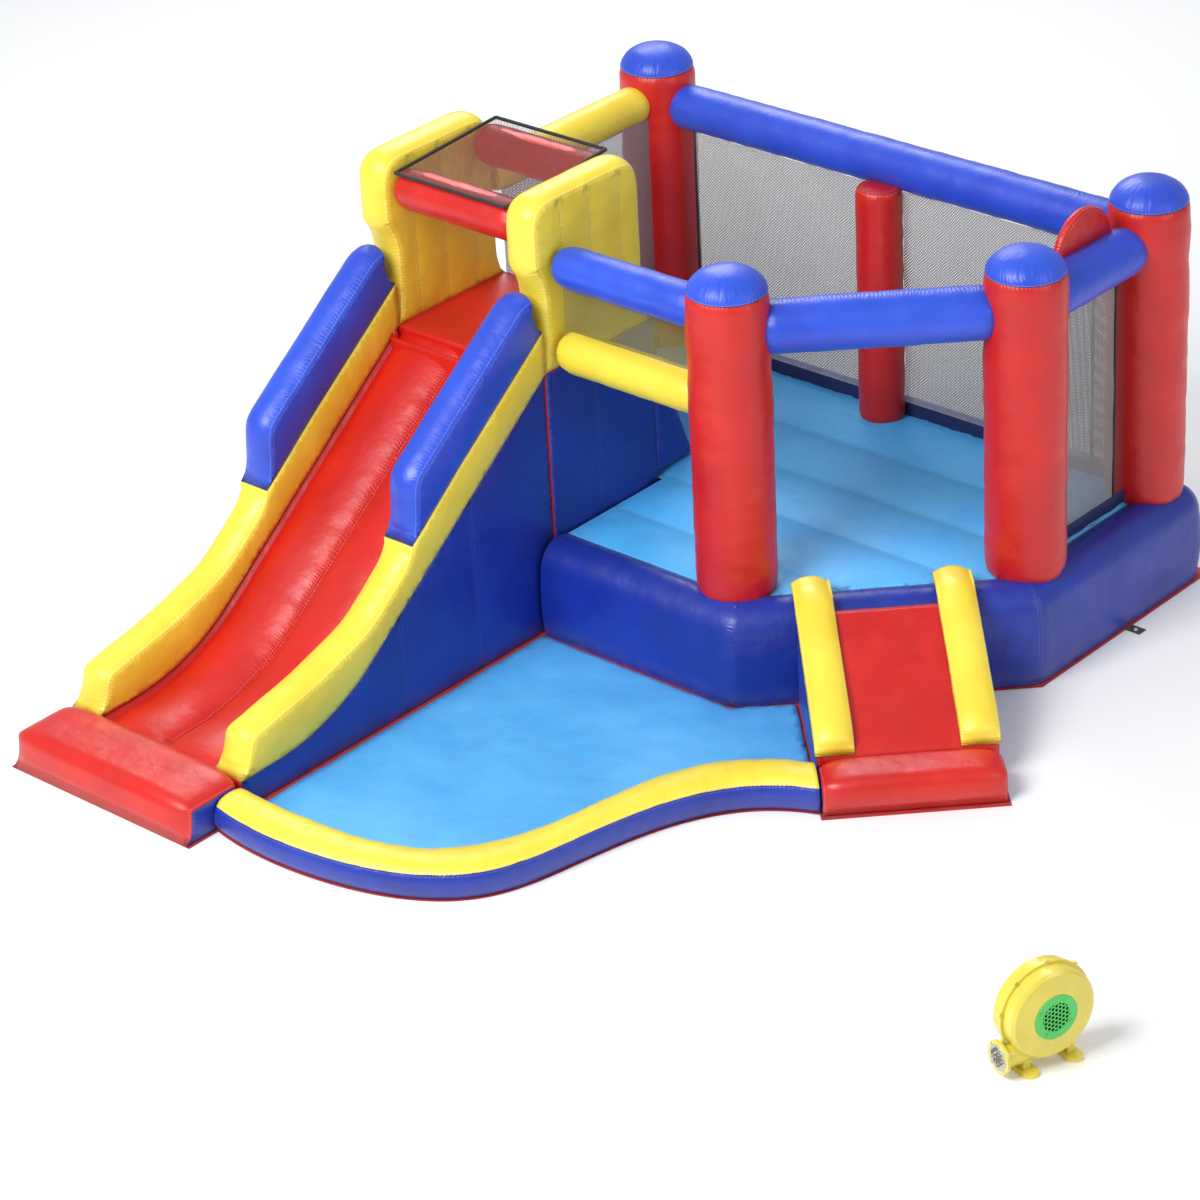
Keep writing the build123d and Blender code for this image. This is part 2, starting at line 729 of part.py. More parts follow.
with BuildPart() as intake_grille:
    with BuildSketch(fan.offset(DRUM_FRONT - 4)):
        Circle(GRILLE_R)
        Circle(MESH_R, mode=Mode.SUBTRACT)
    extrude(amount=8)
    fillet(intake_grille.faces().sort_by(fan_axis)[-1].edges(), 2)
    with BuildSketch(fan.offset(DRUM_FRONT - 1)):
        Circle(MESH_R + 0.5)
        with HexLocations(HEX_PITCH / sqrt(3), 9, 11):
            RegularPolygon((HEX_PITCH - HEX_BAR) / sqrt(3), 6, mode=Mode.SUBTRACT)
    extrude(amount=4)
    with BuildSketch(fan.offset(DRUM_FRONT + 4)):
        with PolarLocations((GRILLE_R + MESH_R) / 2, 4, start_angle=60):
            Circle(7)
    extrude(amount=3)
save("intake_grille", intake_grille)

with BuildPart() as outlet_duct:
    with BuildSketch(outlet):
        Circle(DUCT_R)
        Circle(DUCT_R - SHELL, mode=Mode.SUBTRACT)
    extrude(amount=duct_length)
    with BuildSketch(outlet):
        Circle(FLANGE_R)
        Circle(DUCT_R - SHELL / 2, mode=Mode.SUBTRACT)
        with PolarLocations(FLANGE_BOLT_R, 4, start_angle=45):
            Circle(SCREW_R, mode=Mode.SUBTRACT)
    extrude(amount=FLANGE_THICK)
    with BuildSketch(fan):
        Circle(drum_wall)
    extrude(amount=2 * DUCT_R, both=True, mode=Mode.SUBTRACT)
save("outlet_duct", outlet_duct)

screen_steps = range(-8, 9)
screen_grid = [(SCREEN_PITCH / 2 * i, SCREEN_PITCH / 2 * j) for i in screen_steps for j in screen_steps]
in_rows = [p for p in screen_grid if (p[0] + p[1]) % SCREEN_PITCH < 0.1]
screen_holes = [p for p in in_rows if Vector(*p).length < DUCT_R - 8]
with BuildPart() as outlet_screen:
    with BuildSketch(outlet.offset(-SCREEN)):
        Circle(DUCT_R + 2)
        with Locations(*screen_holes):
            Rectangle(SCREEN_HOLE, SCREEN_HOLE, rotation=45, mode=Mode.SUBTRACT)
    extrude(amount=SCREEN)
save("outlet_screen", outlet_screen)

# ---- screws: one through each boss, one in each flange hole ----
with BuildPart() as blower_screws:
    with BuildSketch(fan.offset(-RIM_HALF)):
        with Locations(*boss_places):
            Circle(SCREW_R)
    extrude(amount=2 * RIM_HALF)
    with BuildSketch(fan.offset(RIM_HALF)):
        with Locations(*boss_places):
            Circle(4.6)
    extrude(amount=2.6)
    with BuildSketch(outlet):
        with PolarLocations(FLANGE_BOLT_R, 4, start_angle=45):
            Circle(SCREW_R)
    extrude(amount=FLANGE_THICK)
    with BuildSketch(outlet):
        with PolarLocations(FLANGE_BOLT_R, 4, start_angle=45):
            Circle(4)
    extrude(amount=-2)
save("blower_screws", blower_screws)

# ---- motor, shaft and impeller on the fan's axis ----
with BuildPart() as motor:
    with BuildSketch(fan.offset(DRUM_BACK + SHELL)):
        Circle(MOTOR_R)
    extrude(amount=MOTOR_LENGTH)
    fillet(motor.faces().sort_by(fan_axis)[-1].edges(), 6)
    with BuildSketch(fan.offset(DRUM_BACK + SHELL + 12)):
        Circle(SHAFT_R + 0.1)
    extrude(amount=MOTOR_LENGTH, mode=Mode.SUBTRACT)
save("motor", motor)

with BuildPart() as motor_shaft:
    with BuildSketch(fan.offset(DRUM_BACK + SHELL + 12.2)):
        Circle(SHAFT_R)
    extrude(amount=MOTOR_LENGTH + 40)
save("motor_shaft", motor_shaft)

plate_z = DRUM_BACK + SHELL + MOTOR_LENGTH + 6
with BuildPart() as impeller:
    with BuildSketch(fan.offset(plate_z)):
        Circle(BLADE_R + 12)
        Circle(SHAFT_R, mode=Mode.SUBTRACT)
    extrude(amount=4)
    with BuildSketch(fan.offset(plate_z)):
        Circle(22)
        Circle(SHAFT_R, mode=Mode.SUBTRACT)
    extrude(amount=20)
    with BuildSketch(fan.offset(plate_z + 4)):
        with PolarLocations(BLADE_R - 12, BLADE_COUNT):
            Rectangle(42, 3, rotation=38)
    extrude(amount=IMPELLER_DEPTH)
    with BuildSketch(fan.offset(plate_z + 4 + IMPELLER_DEPTH)):
        Circle(BLADE_R + 12)
        Circle(BLADE_R - 24, mode=Mode.SUBTRACT)
    extrude(amount=3)
save("impeller", impeller)

# ---- rocker switch and cable gland on the back of the housing ----
switch_spot = Plane(
    origin=fan.from_local_coords((-90, 60, DRUM_BACK)),
    x_dir=fan.x_dir * -1,
    z_dir=fan.z_dir * -1,
)
with BuildPart() as switch_bezel:
    with BuildSketch(switch_spot):
        RectangleRounded(34, 26, 4)
        Rectangle(25, 17, mode=Mode.SUBTRACT)
    extrude(amount=9)
save("switch_bezel", switch_bezel)

rocker_side = Plane(origin=switch_spot.origin, x_dir=switch_spot.x_dir, z_dir=switch_spot.y_dir)
with BuildPart() as power_switch:
    with BuildSketch(rocker_side):
        with BuildLine():
            Polyline(
                (-10.4, -4.5),
                (-7, -3),
                (7, -3),
                (10.4, -4.5),
                (10.8, -9.5),
                (0, -8),
                (-10.8, -12.5),
                close=True,
            )
        make_face()
    extrude(amount=8, both=True)
save("power_switch", power_switch)

with BuildPart() as cable_gland:
    with BuildSketch(Plane(origin=fan.from_local_coords((60, -110, DRUM_BACK)), z_dir=fan.z_dir * -1)):
        RegularPolygon(11, 6)
    extrude(amount=8)
    with BuildSketch(Plane(origin=fan.from_local_coords((60, -110, DRUM_BACK - 8)), z_dir=fan.z_dir * -1)):
        Circle(9)
        Circle(4.5, mode=Mode.SUBTRACT)
    extrude(amount=14, taper=8)
save("cable_gland", cable_gland)

# ---- feet: two oval pads, each with a web up to the drum ----
with BuildPart() as blower_feet:
    for across, turn in ((-95, 0), (95, 0)):
        middle = fan.from_local_coords((across, -AXLE_Z, 0))
        foot = Plane(origin=middle, x_dir=fan.z_dir, z_dir=(0, 0, 1))
        with BuildSketch(foot):
            SlotOverall(170, 62)
        extrude(amount=14)
        with BuildSketch(foot.offset(14)):
            Rectangle(70, 30)
        extrude(amount=80)
    with BuildSketch(fan):
        Circle(RIM_R)
        with Locations(*boss_places):
            Circle(BOSS_R + 0.5)
    extrude(amount=RIM_HALF + 4, both=True, mode=Mode.SUBTRACT)
    with BuildSketch(fan):
        Circle(DRUM_R)
    extrude(amount=100, both=True, mode=Mode.SUBTRACT)
    with BuildSketch(outlet):
        Circle(DUCT_R)
    extrude(amount=duct_length, mode=Mode.SUBTRACT)
save("blower_feet", blower_feet)
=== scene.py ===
import math

import bpy
import bmesh
import numpy as np
from mathutils import Matrix, Vector, geometry, noise


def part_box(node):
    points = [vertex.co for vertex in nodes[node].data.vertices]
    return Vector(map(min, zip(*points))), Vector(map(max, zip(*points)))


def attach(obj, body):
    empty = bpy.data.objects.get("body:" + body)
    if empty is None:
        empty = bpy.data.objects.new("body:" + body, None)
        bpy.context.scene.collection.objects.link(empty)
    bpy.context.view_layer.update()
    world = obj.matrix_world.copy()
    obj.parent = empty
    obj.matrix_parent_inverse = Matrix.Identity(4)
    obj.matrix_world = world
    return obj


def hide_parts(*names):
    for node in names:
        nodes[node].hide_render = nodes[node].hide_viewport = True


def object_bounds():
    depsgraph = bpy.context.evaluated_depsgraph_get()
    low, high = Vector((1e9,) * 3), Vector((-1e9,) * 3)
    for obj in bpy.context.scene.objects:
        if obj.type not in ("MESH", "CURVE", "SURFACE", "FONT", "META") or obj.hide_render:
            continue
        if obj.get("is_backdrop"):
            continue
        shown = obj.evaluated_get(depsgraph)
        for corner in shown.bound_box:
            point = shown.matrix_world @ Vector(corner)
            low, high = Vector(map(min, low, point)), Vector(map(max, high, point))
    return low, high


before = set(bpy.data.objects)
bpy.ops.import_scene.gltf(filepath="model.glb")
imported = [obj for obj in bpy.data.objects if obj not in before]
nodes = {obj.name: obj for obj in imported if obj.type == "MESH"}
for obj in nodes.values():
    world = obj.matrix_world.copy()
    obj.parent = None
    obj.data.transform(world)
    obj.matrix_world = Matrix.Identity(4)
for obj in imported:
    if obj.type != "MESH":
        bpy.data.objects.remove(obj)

cad_low, cad_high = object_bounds()
scene = bpy.context.scene
HOUSE = "house"

STEP = 0.02              # spacing of the points in an inflated panel
STITCH_PITCH = 0.009
STITCH_INSET = 0.0075    # from a seam to the row of stitches beside it
GRAIN = 0.00002          # height of the moulded plastic's grain
SEAM_INSET = 0.022       # how far a side seam sits inside the widest part of a cell
UP = np.array((0.0, 0.0, 1.0))
X = np.array((1.0, 0.0, 0.0))
Y = np.array((0.0, 1.0, 0.0))
OUT = np.array((1.0, -1.0, 0.0)) / math.sqrt(2)      # the way the entry ramp runs
ALONG = np.array((1.0, 1.0, 0.0)) / math.sqrt(2)     # along the entry face


# ---- camera, light and floor
def aim(obj, target, roll=0.0):
    """Point an object's -Z axis at a target, turned by roll degrees about that axis."""
    turn = (Vector(target) - obj.location).to_track_quat("-Z", "Y").to_matrix().to_4x4()
    obj.rotation_euler = (turn @ Matrix.Rotation(math.radians(roll), 4, "Z")).to_euler()


camera_data = bpy.data.cameras.new("camera")
camera_data.lens = 122.16
camera_data.sensor_width = 36.0
camera_data.clip_end = 100.0
camera = bpy.data.objects.new("camera", camera_data)
scene.collection.objects.link(camera)
camera.location = (10.985, -11.117, 8.5225)
aim(camera, (1.535, -0.864, 0.840), -3.165)
scene.camera = camera


def area_light(name, place, target, size, watts):
    data = bpy.data.lights.new(name, "AREA")
    data.shape = "RECTANGLE"
    data.size, data.size_y = size
    data.energy = watts
    lamp = bpy.data.objects.new(name, data)
    scene.collection.objects.link(lamp)
    lamp.location = place
    aim(lamp, target)


middle = (cad_low + cad_high) / 2
area_light("key", (1.0, -8.5, 9.0), middle, (6.0, 6.0), 1350)
area_light("fill", (11.0, 1.0, 5.0), middle, (5.0, 5.0), 160)
area_light("rim", (-5.0, 6.0, 7.5), middle, (5.0, 5.0), 420)

world = bpy.data.worlds.new("world")
world.use_nodes = True
world.node_tree.nodes["Background"].inputs["Color"].default_value = (0.93, 0.96, 1.0, 1.0)
world.node_tree.nodes["Background"].inputs["Strength"].default_value = 0.50
scene.world = world
scene.view_settings.view_transform = "Standard"


# ---- materials
def shader(name, colour, roughness, metallic=0.0):
    material = bpy.data.materials.new(name)
    material.use_nodes = True
    tree = material.node_tree
    surface = tree.nodes["Principled BSDF"]
    surface.inputs["Base Color"].default_value = (*colour, 1.0)
    surface.inputs["Roughness"].default_value = roughness
    surface.inputs["Metallic"].default_value = metallic
    return material, tree, surface


def add_node(tree, kind, **values):
    """A shader node with its plain settings and inputs set by name."""
    item = tree.nodes.new(kind)
    for key, value in values.items():
        if key in item.inputs:
            item.inputs[key].default_value = value
        else:
            setattr(item, key, value)
    return item


def maths(tree, operation, first, second=0.0, clamp=False):
    item = tree.nodes.new("ShaderNodeMath")
    item.operation = operation
    item.use_clamp = clamp
    for socket, value in zip(item.inputs, (first, second)):
        if isinstance(value, (int, float)):
            socket.default_value = value
        else:
            tree.links.new(value, socket)
    return item.outputs[0]


def ramp(tree, value, low, high, out_low=0.0, out_high=1.0):
    item = tree.nodes.new("ShaderNodeMapRange")
    item.interpolation_type = "SMOOTHSTEP"
    tree.links.new(value, item.inputs["Value"])
    for key, number in zip(("From Min", "From Max", "To Min", "To Max"), (low, high, out_low, out_high)):
        item.inputs[key].default_value = number
    return item.outputs["Result"]


def blend_colour(tree, factor, first, second, mode="MIX"):
    item = tree.nodes.new("ShaderNodeMix")
    item.data_type = "RGBA"
    item.blend_type = mode
    for index, value in ((0, factor), (6, first), (7, second)):
        socket = item.inputs[index]
        if isinstance(value, (int, float)):
            socket.default_value = value
        elif isinstance(value, tuple):
            socket.default_value = (*value, 1.0)
        else:
            tree.links.new(value, socket)
    return item.outputs[2]


def noise_cloud(tree, place, scale, detail):
    item = add_node(tree, "ShaderNodeTexNoise", Scale=scale, Detail=detail)
    tree.links.new(place, item.inputs["Vector"])
    return item.outputs["Fac"]


def add_bump(tree, surface, height, strength, distance):
    bump = add_node(tree, "ShaderNodeBump", Strength=strength, Distance=distance)
    tree.links.new(height, bump.inputs["Height"])
    tree.links.new(bump.outputs["Normal"], surface.inputs["Normal"])


def scaled(colour, share):
    return tuple(share * c for c in colour)


def fabric(name, colour, shade, thread, roughness=0.37):
    """Coated woven fabric: soft gloss, fine weave, puckers and a row of stitches beside each seam."""
    material, tree, surface = shader(name, colour, roughness)
    surface.inputs["Sheen Weight"].default_value = 0.04
    surface.inputs["Sheen Roughness"].default_value = 0.4
    surface.inputs["Specular IOR Level"].default_value = 0.6
    place = tree.nodes.new("ShaderNodeTexCoord").outputs["Object"]
    gap = add_node(tree, "ShaderNodeAttribute", attribute_name="seam_gap").outputs["Fac"]
    run = add_node(tree, "ShaderNodeAttribute", attribute_name="seam_run").outputs["Fac"]

    def cloud(scale, detail=2.0):
        return noise_cloud(tree, place, scale, detail)

    # colour: broad drift, a painted shade line in each seam's groove, stitches beside it, and pale dust low
    # down
    drift = ramp(tree, cloud(3.1, 4.0), 0.3, 0.7)
    tone = blend_colour(tree, drift, shade, colour)
    # painted shade: the colour darkens within 4 mm of each seam, where its groove would be in shade
    painted_seam_shade = ramp(tree, gap, 0.0003, 0.004, 0.30, 0.0)
    tone = blend_colour(tree, painted_seam_shade, tone, scaled(shade, 0.45))
    dash = ramp(tree, maths(tree, "PINGPONG", run, STITCH_PITCH / 2), 0.0012, 0.002)
    row = maths(tree, "ABSOLUTE", maths(tree, "SUBTRACT", gap, STITCH_INSET))
    row = ramp(tree, row, 0.0006, 0.0012, 0.7, 0.0)
    stitch = maths(tree, "MULTIPLY", row, dash)
    tone = blend_colour(tree, stitch, tone, thread)
    split = tree.nodes.new("ShaderNodeSeparateXYZ")
    tree.links.new(place, split.inputs[0])
    low = ramp(tree, split.outputs["Z"], 0.0, 0.12, 1.0, 0.0)
    dust = maths(tree, "MULTIPLY", maths(tree, "MULTIPLY", low, cloud(14.0, 6.0)), 0.16)
    tone = blend_colour(tree, dust, tone, (0.42, 0.38, 0.33))
    tree.links.new(tone, surface.inputs["Base Color"])

    gloss = ramp(tree, cloud(7.0, 5.0), 0.25, 0.75, roughness - 0.05, roughness + 0.07)
    tree.links.new(gloss, surface.inputs["Roughness"])

    # height: weave threads, loose ripples, and puckers that fade away from a seam
    threads = 0.0
    for axis in "XYZ":
        wave = add_node(tree, "ShaderNodeTexWave", bands_direction=axis, Scale=420.0, Distortion=0.6)
        tree.links.new(place, wave.inputs["Vector"])
        threads = maths(tree, "ADD", wave.outputs["Fac"], threads)
    uneven = maths(tree, "MULTIPLY", cloud(9.0), 30.0)
    phase = maths(tree, "ADD", maths(tree, "MULTIPLY", run, 390.0), uneven)
    pucker = maths(tree, "SINE", phase)
    near = ramp(tree, gap, 0.0, 0.05, 1.0, 0.0)
    near = maths(tree, "MULTIPLY", near, near)
    pucker = maths(tree, "MULTIPLY", pucker, near)
    ripple = cloud(11.0, 3.0)
    height = maths(tree, "MULTIPLY", threads, 0.000014)
    for layer, metres in ((pucker, 0.0006), (ripple, 0.006), (stitch, 0.0006)):
        height = maths(tree, "ADD", height, maths(tree, "MULTIPLY", layer, metres))
    add_bump(tree, surface, height, 0.8, 1.0)
    return material


def net_material(name, colour, pitch, thread_share, roughness=0.6, level=False):
    """Open net: two sets of slanted threads with clear holes between them."""
    material, tree, surface = shader(name, colour, roughness)
    place = tree.nodes.new("ShaderNodeTexCoord").outputs["Object"]
    split = tree.nodes.new("ShaderNodeSeparateXYZ")
    tree.links.new(place, split.inputs[0])
    flat, other = split.outputs["X"], split.outputs["Y"]
    if not level:
        flat, other = maths(tree, "ADD", flat, other), split.outputs["Z"]
    solid = 0.0
    for sign in (1.0, -1.0):
        slant = maths(tree, "ADD", flat, maths(tree, "MULTIPLY", other, sign))
        strand = maths(tree, "PINGPONG", slant, pitch / 2)
        strand = ramp(tree, strand, pitch / 2 * thread_share, pitch / 2 * (thread_share + 0.12), 1.0, 0.0)
        solid = maths(tree, "MAXIMUM", strand, solid)
    tree.links.new(solid, surface.inputs["Alpha"])
    drift = noise_cloud(tree, place, 4.0, 3.0)
    tone = blend_colour(tree, drift, scaled(colour, 0.8), scaled(colour, 1.15))
    tree.links.new(tone, surface.inputs["Base Color"])
    add_bump(tree, surface, solid, 0.5, 0.001)
    return material


def moulded(name, colour, roughness, metallic=0.0, coat=0.0):
    """Moulded plastic or metal: slight flow marks in gloss and colour, and a fine grain."""
    material, tree, surface = shader(name, colour, roughness, metallic)
    surface.inputs["Coat Weight"].default_value = coat
    surface.inputs["Coat Roughness"].default_value = 0.08
    place = tree.nodes.new("ShaderNodeTexCoord").outputs["Object"]

    def cloud(scale, detail=3.0):
        return noise_cloud(tree, place, scale, detail)

    tone = blend_colour(tree, ramp(tree, cloud(9.0), 0.3, 0.7), scaled(colour, 0.9), colour)
    scuff = ramp(tree, cloud(60.0, 8.0), 0.62, 0.74, 0.0, 0.12)
    tone = blend_colour(tree, scuff, tone, tuple(min(1.0, c + 0.1) for c in colour))
    tree.links.new(tone, surface.inputs["Base Color"])
    gloss = ramp(tree, cloud(25.0, 6.0), 0.3, 0.7, roughness * 0.85, roughness * 1.25)
    tree.links.new(gloss, surface.inputs["Roughness"])
    height = maths(tree, "MULTIPLY", cloud(700.0, 2.0), GRAIN)
    height = maths(tree, "ADD", height, maths(tree, "MULTIPLY", cloud(18.0, 1.0), GRAIN * 12))
    add_bump(tree, surface, height, 1.0, 1.0)
    return material


BLUE = fabric("blue", (0.022, 0.085, 0.66), (0.016, 0.060, 0.54), (0.22, 0.34, 0.90))
DEEP_BLUE = fabric("deep_blue", (0.008, 0.032, 0.36), (0.006, 0.024, 0.28), (0.12, 0.19, 0.62))
RED = fabric("red", (0.62, 0.010, 0.005), (0.52, 0.007, 0.004), (0.90, 0.22, 0.18))
YELLOW = fabric("yellow", (0.92, 0.74, 0.065), (0.86, 0.64, 0.040), (1.0, 0.93, 0.50))
SKY = fabric("light_blue", (0.085, 0.47, 0.92), (0.06, 0.41, 0.87), (0.35, 0.70, 1.0), roughness=0.5)
NAVY = fabric("navy", (0.012, 0.020, 0.12), (0.008, 0.013, 0.08), (0.08, 0.11, 0.30), roughness=0.6)
GROUND_RED = fabric("ground_red", (0.55, 0.012, 0.012), (0.45, 0.01, 0.01), (0.6, 0.05, 0.05), 0.55)
WEBBING = fabric("webbing", (0.018, 0.018, 0.02), (0.012, 0.012, 0.013), (0.12, 0.12, 0.12), roughness=0.7)
NET_GREY = net_material("net_grey", (0.26, 0.26, 0.26), 0.014, 0.46)
NET_RED = net_material("net_red", (0.26, 0.012, 0.016), 0.008, 0.50)
NET_DARK = net_material("net_dark", (0.20, 0.18, 0.05), 0.008, 0.34)
NET_ROOF = net_material("net_roof", (0.10, 0.016, 0.014), 0.009, 0.20, level=True)
YELLOW_SHELL = moulded("shell_yellow", (0.80, 0.66, 0.075), 0.28, coat=0.5)
GREEN_PLASTIC = moulded("grille_green", (0.06, 0.60, 0.10), 0.32, coat=0.4)
BLACK_PLASTIC = moulded("black_plastic", (0.02, 0.02, 0.022), 0.42)
FAN_GREY = moulded("fan_grey", (0.11, 0.11, 0.12), 0.45)
STEEL = moulded("steel", (0.58, 0.58, 0.60), 0.30, metallic=1.0)
MOTOR_CASE = moulded("motor_case", (0.32, 0.33, 0.35), 0.38, metallic=0.8)


# ---- lines and outlines
def arc_lengths(points, closed):
    ends = np.vstack([points, points[:1]]) if closed else points
    return np.concatenate([[0.0], np.cumsum(np.linalg.norm(np.diff(ends, axis=0), axis=1))])


def along_line(points, places, closed=False):
    """Points at the given distances along a line."""
    ends = np.vstack([points, points[:1]]) if closed else points
    lengths = arc_lengths(points, closed)
    return np.stack([np.interp(places, lengths, ends[:, k]) for k in range(points.shape[1])], axis=1)


def even(points, step=STEP, closed=True, corner=28.0):
    """A line's points at even steps, with its sharp corners kept."""
    points = np.asarray(points, float)
    lengths = arc_lengths(points, closed)
    count = len(points)
    before = points - np.roll(points, 1, axis=0)
    after = np.roll(points, -1, axis=0) - points
    sizes = np.linalg.norm(before, axis=1) * np.linalg.norm(after, axis=1)
    cosine = (before * after).sum(1) / (sizes + 1e-12)
    sharp = np.degrees(np.arccos(np.clip(cosine, -1, 1))) > corner
    if not closed:
        sharp[0] = sharp[-1] = True
    stops = lengths[:count][sharp]
    if closed:
        if len(stops) == 0:
            stops = np.array([0.0])
        stops = np.append(stops, stops[0] + lengths[-1])
    places = []
    for start, end in zip(stops[:-1], stops[1:]):
        parts = max(1, round((end - start) / step))
        places.append(start + (end - start) * np.arange(parts) / parts)
    places = np.concatenate(places)
    if closed:
        return along_line(points, places % lengths[-1], True)
    return along_line(points, np.append(places, stops[-1]))


def corner_pieces(loop, step, corner=40.0):
    """A closed loop cut at its sharp corners, each part at even steps with both its ends."""
    points = even(loop, step, True, corner)
    sharp = even(loop, 100.0, True, corner)
    places = sorted(int(np.argmin(np.linalg.norm(points - p, axis=1))) for p in sharp)
    parts = []
    for a, b in zip(places, places[1:] + [places[0] + len(points)]):
        parts.append(points[np.arange(a, b + 1) % len(points)])
    return parts


def soften(points, passes, closed=True):
    """Round off a line's corners."""
    for _ in range(passes):
        mean = (np.roll(points, 1, axis=0) + np.roll(points, -1, axis=0)) / 2
        mixed = (points + mean) / 2
        if not closed:
            mixed[0], mixed[-1] = points[0], points[-1]
        points = mixed
    return points


def outward(points):
    """Unit normals that point out of a counter-clockwise loop."""
    way = np.roll(points, -1, axis=0) - np.roll(points, 1, axis=0)
    normal = np.stack([way[:, 1], -way[:, 0]], axis=1)
    return normal / (np.linalg.norm(normal, axis=1)[:, None] + 1e-12)


def signed_area(points):
    x, y = points.T
    return (x * np.roll(y, -1) - np.roll(x, -1) * y).sum() / 2


def distance_to(points, line, closed):
    """Distance from each point to a line, and the place along the line that is nearest."""
    ends = np.vstack([line, line[:1]]) if closed else line
    lengths = arc_lengths(line, closed)
    best = np.full(len(points), 1e9)
    place = np.zeros(len(points))
    for k in range(len(ends) - 1):
        a, b = ends[k], ends[k + 1]
        ab = b - a
        size = (ab * ab).sum() + 1e-15
        t = np.clip(((points - a) @ ab) / size, 0, 1)
        gap = np.linalg.norm(points - (a + t[:, None] * ab), axis=1)
        nearer = gap < best
        best[nearer] = gap[nearer]
        place[nearer] = lengths[k] + t[nearer] * math.sqrt(size)
    return best, place


def inside(points, loops):
    """True for each point inside an odd number of loops."""
    result = np.zeros(len(points), bool)
    for loop in loops:
        for a, b in zip(loop, np.roll(loop, -1, axis=0)):
            spans = (a[1] > points[:, 1]) != (b[1] > points[:, 1])
            if spans.any():
                cross = (b[0] - a[0]) * (points[:, 1] - a[1]) / (b[1] - a[1] + 1e-15) + a[0]
                result ^= spans & (points[:, 0] < cross)
    return result


def cad_loops(node, direction, across, up=UP):
    """Edge loops of a CAD node's flat faces that lie furthest along direction, as (across, up) pairs."""
    mesh = nodes[node].data
    co = np.empty(len(mesh.vertices) * 3)
    mesh.vertices.foreach_get("co", co)
    co = co.reshape(-1, 3)
    _, ids = np.unique(np.round(co * 1e5), axis=0, return_inverse=True)
    ids = ids.reshape(-1)
    reach = co @ np.asarray(direction, float)
    on = reach > reach.max() - 2e-4
    following = {}
    for polygon in mesh.polygons:
        corners = list(polygon.vertices)
        if all(on[c] for c in corners):
            for a, b in zip(corners, corners[1:] + corners[:1]):
                if ids[b] in following.get(ids[a], {}):
                    continue
                if ids[a] in following.get(ids[b], {}):
                    del following[ids[b]][ids[a]]
                else:
                    following.setdefault(ids[a], {})[ids[b]] = b
    where = {ids[k]: co[k] for k in range(len(co))}
    loops = []
    while any(following.values()):
        start = next(a for a, ways in following.items() if ways)
        path, here = [], start
        while following.get(here):
            nxt = next(iter(following[here]))
            del following[here][nxt]
            path.append(where[here])
            here = nxt
        path = np.array(path)
        flat = np.stack([path @ np.asarray(across, float), path @ np.asarray(up, float)], axis=1)
        keep = np.linalg.norm(flat - np.roll(flat, 1, axis=0), axis=1) > 1e-6
        flat = flat[keep]
        if signed_area(flat) < 0:
            flat = flat[::-1]
        loops.append(flat)
    return sorted(loops, key=lambda p: -abs(signed_area(p)))


GROUND_LINE = np.array(((-50.0, 0.003), (50.0, 0.003)))


# ---- inflated panels
def fill(loops, seams=(), step=STEP):
    """Triangles that fill loops, with points along the seams, and a mask of the points on lines."""
    lines = [(np.asarray(l), True) for l in loops] + [(np.asarray(s), False) for s in seams]
    points, edges = [], []
    for line, closed in lines:
        first = sum(len(p) for p in points)
        points.append(line)
        count = len(line)
        edges += [(first + k, first + k + 1) for k in range(count - 1)]
        if closed:
            edges.append((first + count - 1, first))
    fixed = sum(len(p) for p in points)
    every = np.vstack(points)
    low, high = every.min(0), every.max(0)
    rows = np.arange(low[1], high[1], step * math.sqrt(3) / 2)
    grid = []
    for r, y in enumerate(rows):
        x = np.arange(low[0] + (step / 2 if r % 2 else 0), high[0], step)
        grid.append(np.column_stack([x, np.full(len(x), y)]))
    grid = np.vstack(grid)
    grid = grid[inside(grid, loops)]
    for line, closed in lines:
        gap, _ = distance_to(grid, line, closed)
        grid = grid[gap > 0.55 * step]
    every = np.vstack([every, grid])
    made = geometry.delaunay_2d_cdt([Vector(p) for p in every], edges, [], 0, 1e-7)
    flat = np.array([tuple(v) for v in made[0]])
    pinned = np.array([any(k < fixed for k in origin) for origin in made[3]])
    triangles = np.array([tuple(f) for f in made[2] if len(f) == 3])
    triangles = triangles[inside(flat[triangles].mean(1), loops)]
    used, triangles = np.unique(triangles, return_inverse=True)
    return flat[used], triangles.reshape(-1, 3), pinned[used]


